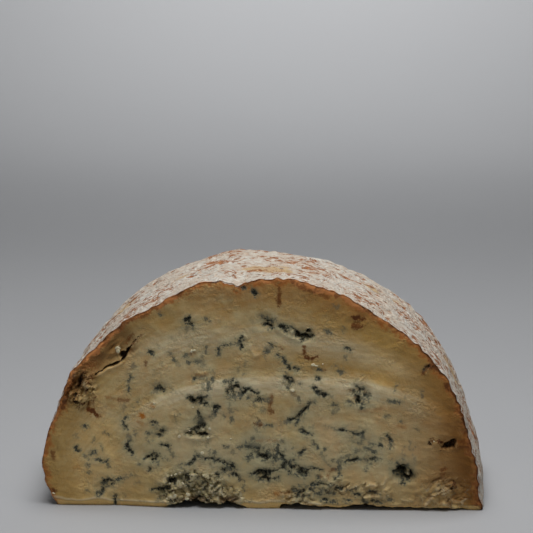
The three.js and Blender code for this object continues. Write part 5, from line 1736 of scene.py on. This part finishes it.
def shape_curd(mesh, centre, draw):
    """Pulls a ball into a small broken lump: flattened towards the cut, with flat facets."""
    squash = Vector((draw.uniform(0.7, 1.25), draw.uniform(0.5, 0.75), draw.uniform(0.65, 1.0)))
    cuts = []
    for _ in range(CURD_FACETS):
        direction = Vector((draw.gauss(0, 1), draw.gauss(0, 1), draw.gauss(0, 1))).normalized()
        cuts.append((direction, draw.uniform(0.4, 0.95)))
    for vertex in mesh.vertices:
        offset = vertex.co - centre
        radius = offset.length
        direction = offset.normalized()
        share = 1.0
        for normal, limit in cuts:
            lean = direction.dot(normal)
            if lean > 0:
                share = min(share, limit / lean)
        moved = direction * radius * share
        vertex.co = centre + Vector((moved.x * squash.x, moved.y * squash.y, moved.z * squash.z))
    points = np.empty(len(mesh.vertices) * 3)
    mesh.vertices.foreach_get("co", points)
    mesh.vertices.foreach_set("co", inside_cad_box(points.reshape(-1, 3)).ravel())


class CHEESE_OT_stage(bpy.types.Operator):
    """Make the floor with its swept back, the lights, the surroundings and the camera"""

    bl_idname = "cheese.stage"
    bl_label = "Stage"

    def execute(self, context):
        settings = context.scene.cheese_stage
        scene = context.scene
        add_floor(context)
        for name, place, target, width, spread, power in LIGHTS:
            add_light(scene, name, place, target, width, spread, getattr(settings, power))
        world = bpy.data.worlds.new("grey studio")
        world.use_nodes = True
        background = world.node_tree.nodes["Background"]
        background.inputs["Color"].default_value = linear(SKY_COLOUR)
        background.inputs["Strength"].default_value = settings.sky
        scene.world = world
        scene.view_settings.view_transform = "Standard"
        camera_data = bpy.data.cameras.new("camera")
        camera_data.lens = settings.lens
        camera_data.sensor_width = SENSOR_WIDTH
        camera_data.clip_end = FARTHEST_SEEN
        camera = bpy.data.objects.new("camera", camera_data)
        camera.location = settings.camera_place
        camera.rotation_euler = settings.camera_turn
        scene.collection.objects.link(camera)
        scene.camera = camera
        return {"FINISHED"}


def add_floor(context):
    """A pale floor that sweeps up into a plain grey back, made from one extruded plane."""
    back_edge = FLOOR["size"] / 2 - 0.1
    bpy.ops.object.select_all(action="DESELECT")
    bpy.ops.mesh.primitive_plane_add(size=FLOOR["size"], location=(0, -FLOOR["in_front"], 0))
    floor = context.object
    floor.name = "floor"
    bpy.ops.object.mode_set(mode="EDIT")
    bpy.ops.mesh.select_mode(type="EDGE")
    select_in_edit_mesh(floor, "edges", lambda e: all(v.co.y > back_edge for v in e.verts))
    bpy.ops.mesh.extrude_region_move(TRANSFORM_OT_translate={"value": (0, 0, FLOOR["back"])})
    select_in_edit_mesh(floor, "edges", lambda e: all(v.co.y > back_edge and v.co.z < 0.1 for v in e.verts))
    bpy.ops.mesh.bevel(offset=FLOOR["sweep"], segments=FLOOR["steps"], affect="EDGES")
    bpy.ops.object.mode_set(mode="OBJECT")
    bpy.ops.object.transform_apply(location=True, rotation=True, scale=True)
    bpy.ops.object.shade_smooth()
    floor.data.materials.append(stage_material("pale painted board", FLOOR_COLOUR))


def add_light(scene, name, place, target, width, spread, power):
    """A square soft light turned to its target."""
    data = bpy.data.lights.new(name, "AREA")
    data.shape = "SQUARE"
    data.size = width
    data.energy = power
    data.spread = math.radians(spread)
    light = bpy.data.objects.new(name, data)
    light.location = place
    light.rotation_euler = (Vector(target) - Vector(place)).to_track_quat("-Z", "Y").to_euler()
    scene.collection.objects.link(light)


class CHEESE_PT_panel(bpy.types.Panel):
    """Lists what makes the cheese and its stage"""

    bl_idname = "CHEESE_PT_panel"
    bl_label = "Cheese"
    bl_space_type = "VIEW_3D"
    bl_region_type = "UI"
    bl_category = "Cheese"

    def draw(self, context):
        layout = self.layout
        for name in (CHEESE_OT_quarter.bl_idname, CHEESE_OT_curds.bl_idname, CHEESE_OT_stage.bl_idname):
            layout.operator(name)
        for group in (context.scene.cheese_sizes, context.scene.cheese_tones, context.scene.cheese_stage):
            box = layout.box()
            for name in group.__annotations__:
                box.prop(group, name)


CLASSES = (
    CheeseSizes,
    CheeseTones,
    StageSettings,
    CHEESE_OT_quarter,
    CHEESE_OT_curds,
    CHEESE_OT_stage,
    CHEESE_PT_panel,
)


def register():
    for cls in CLASSES:
        bpy.utils.register_class(cls)
    bpy.types.Scene.cheese_sizes = PointerProperty(type=CheeseSizes)
    bpy.types.Scene.cheese_tones = PointerProperty(type=CheeseTones)
    bpy.types.Scene.cheese_stage = PointerProperty(type=StageSettings)


def unregister():
    del bpy.types.Scene.cheese_stage
    del bpy.types.Scene.cheese_tones
    del bpy.types.Scene.cheese_sizes
    for cls in reversed(CLASSES):
        bpy.utils.unregister_class(cls)


def main():
    register()
    bpy.ops.cheese.quarter()
    bpy.ops.cheese.curds()
    bpy.ops.cheese.stage()


if __name__ == "__main__":
    main()
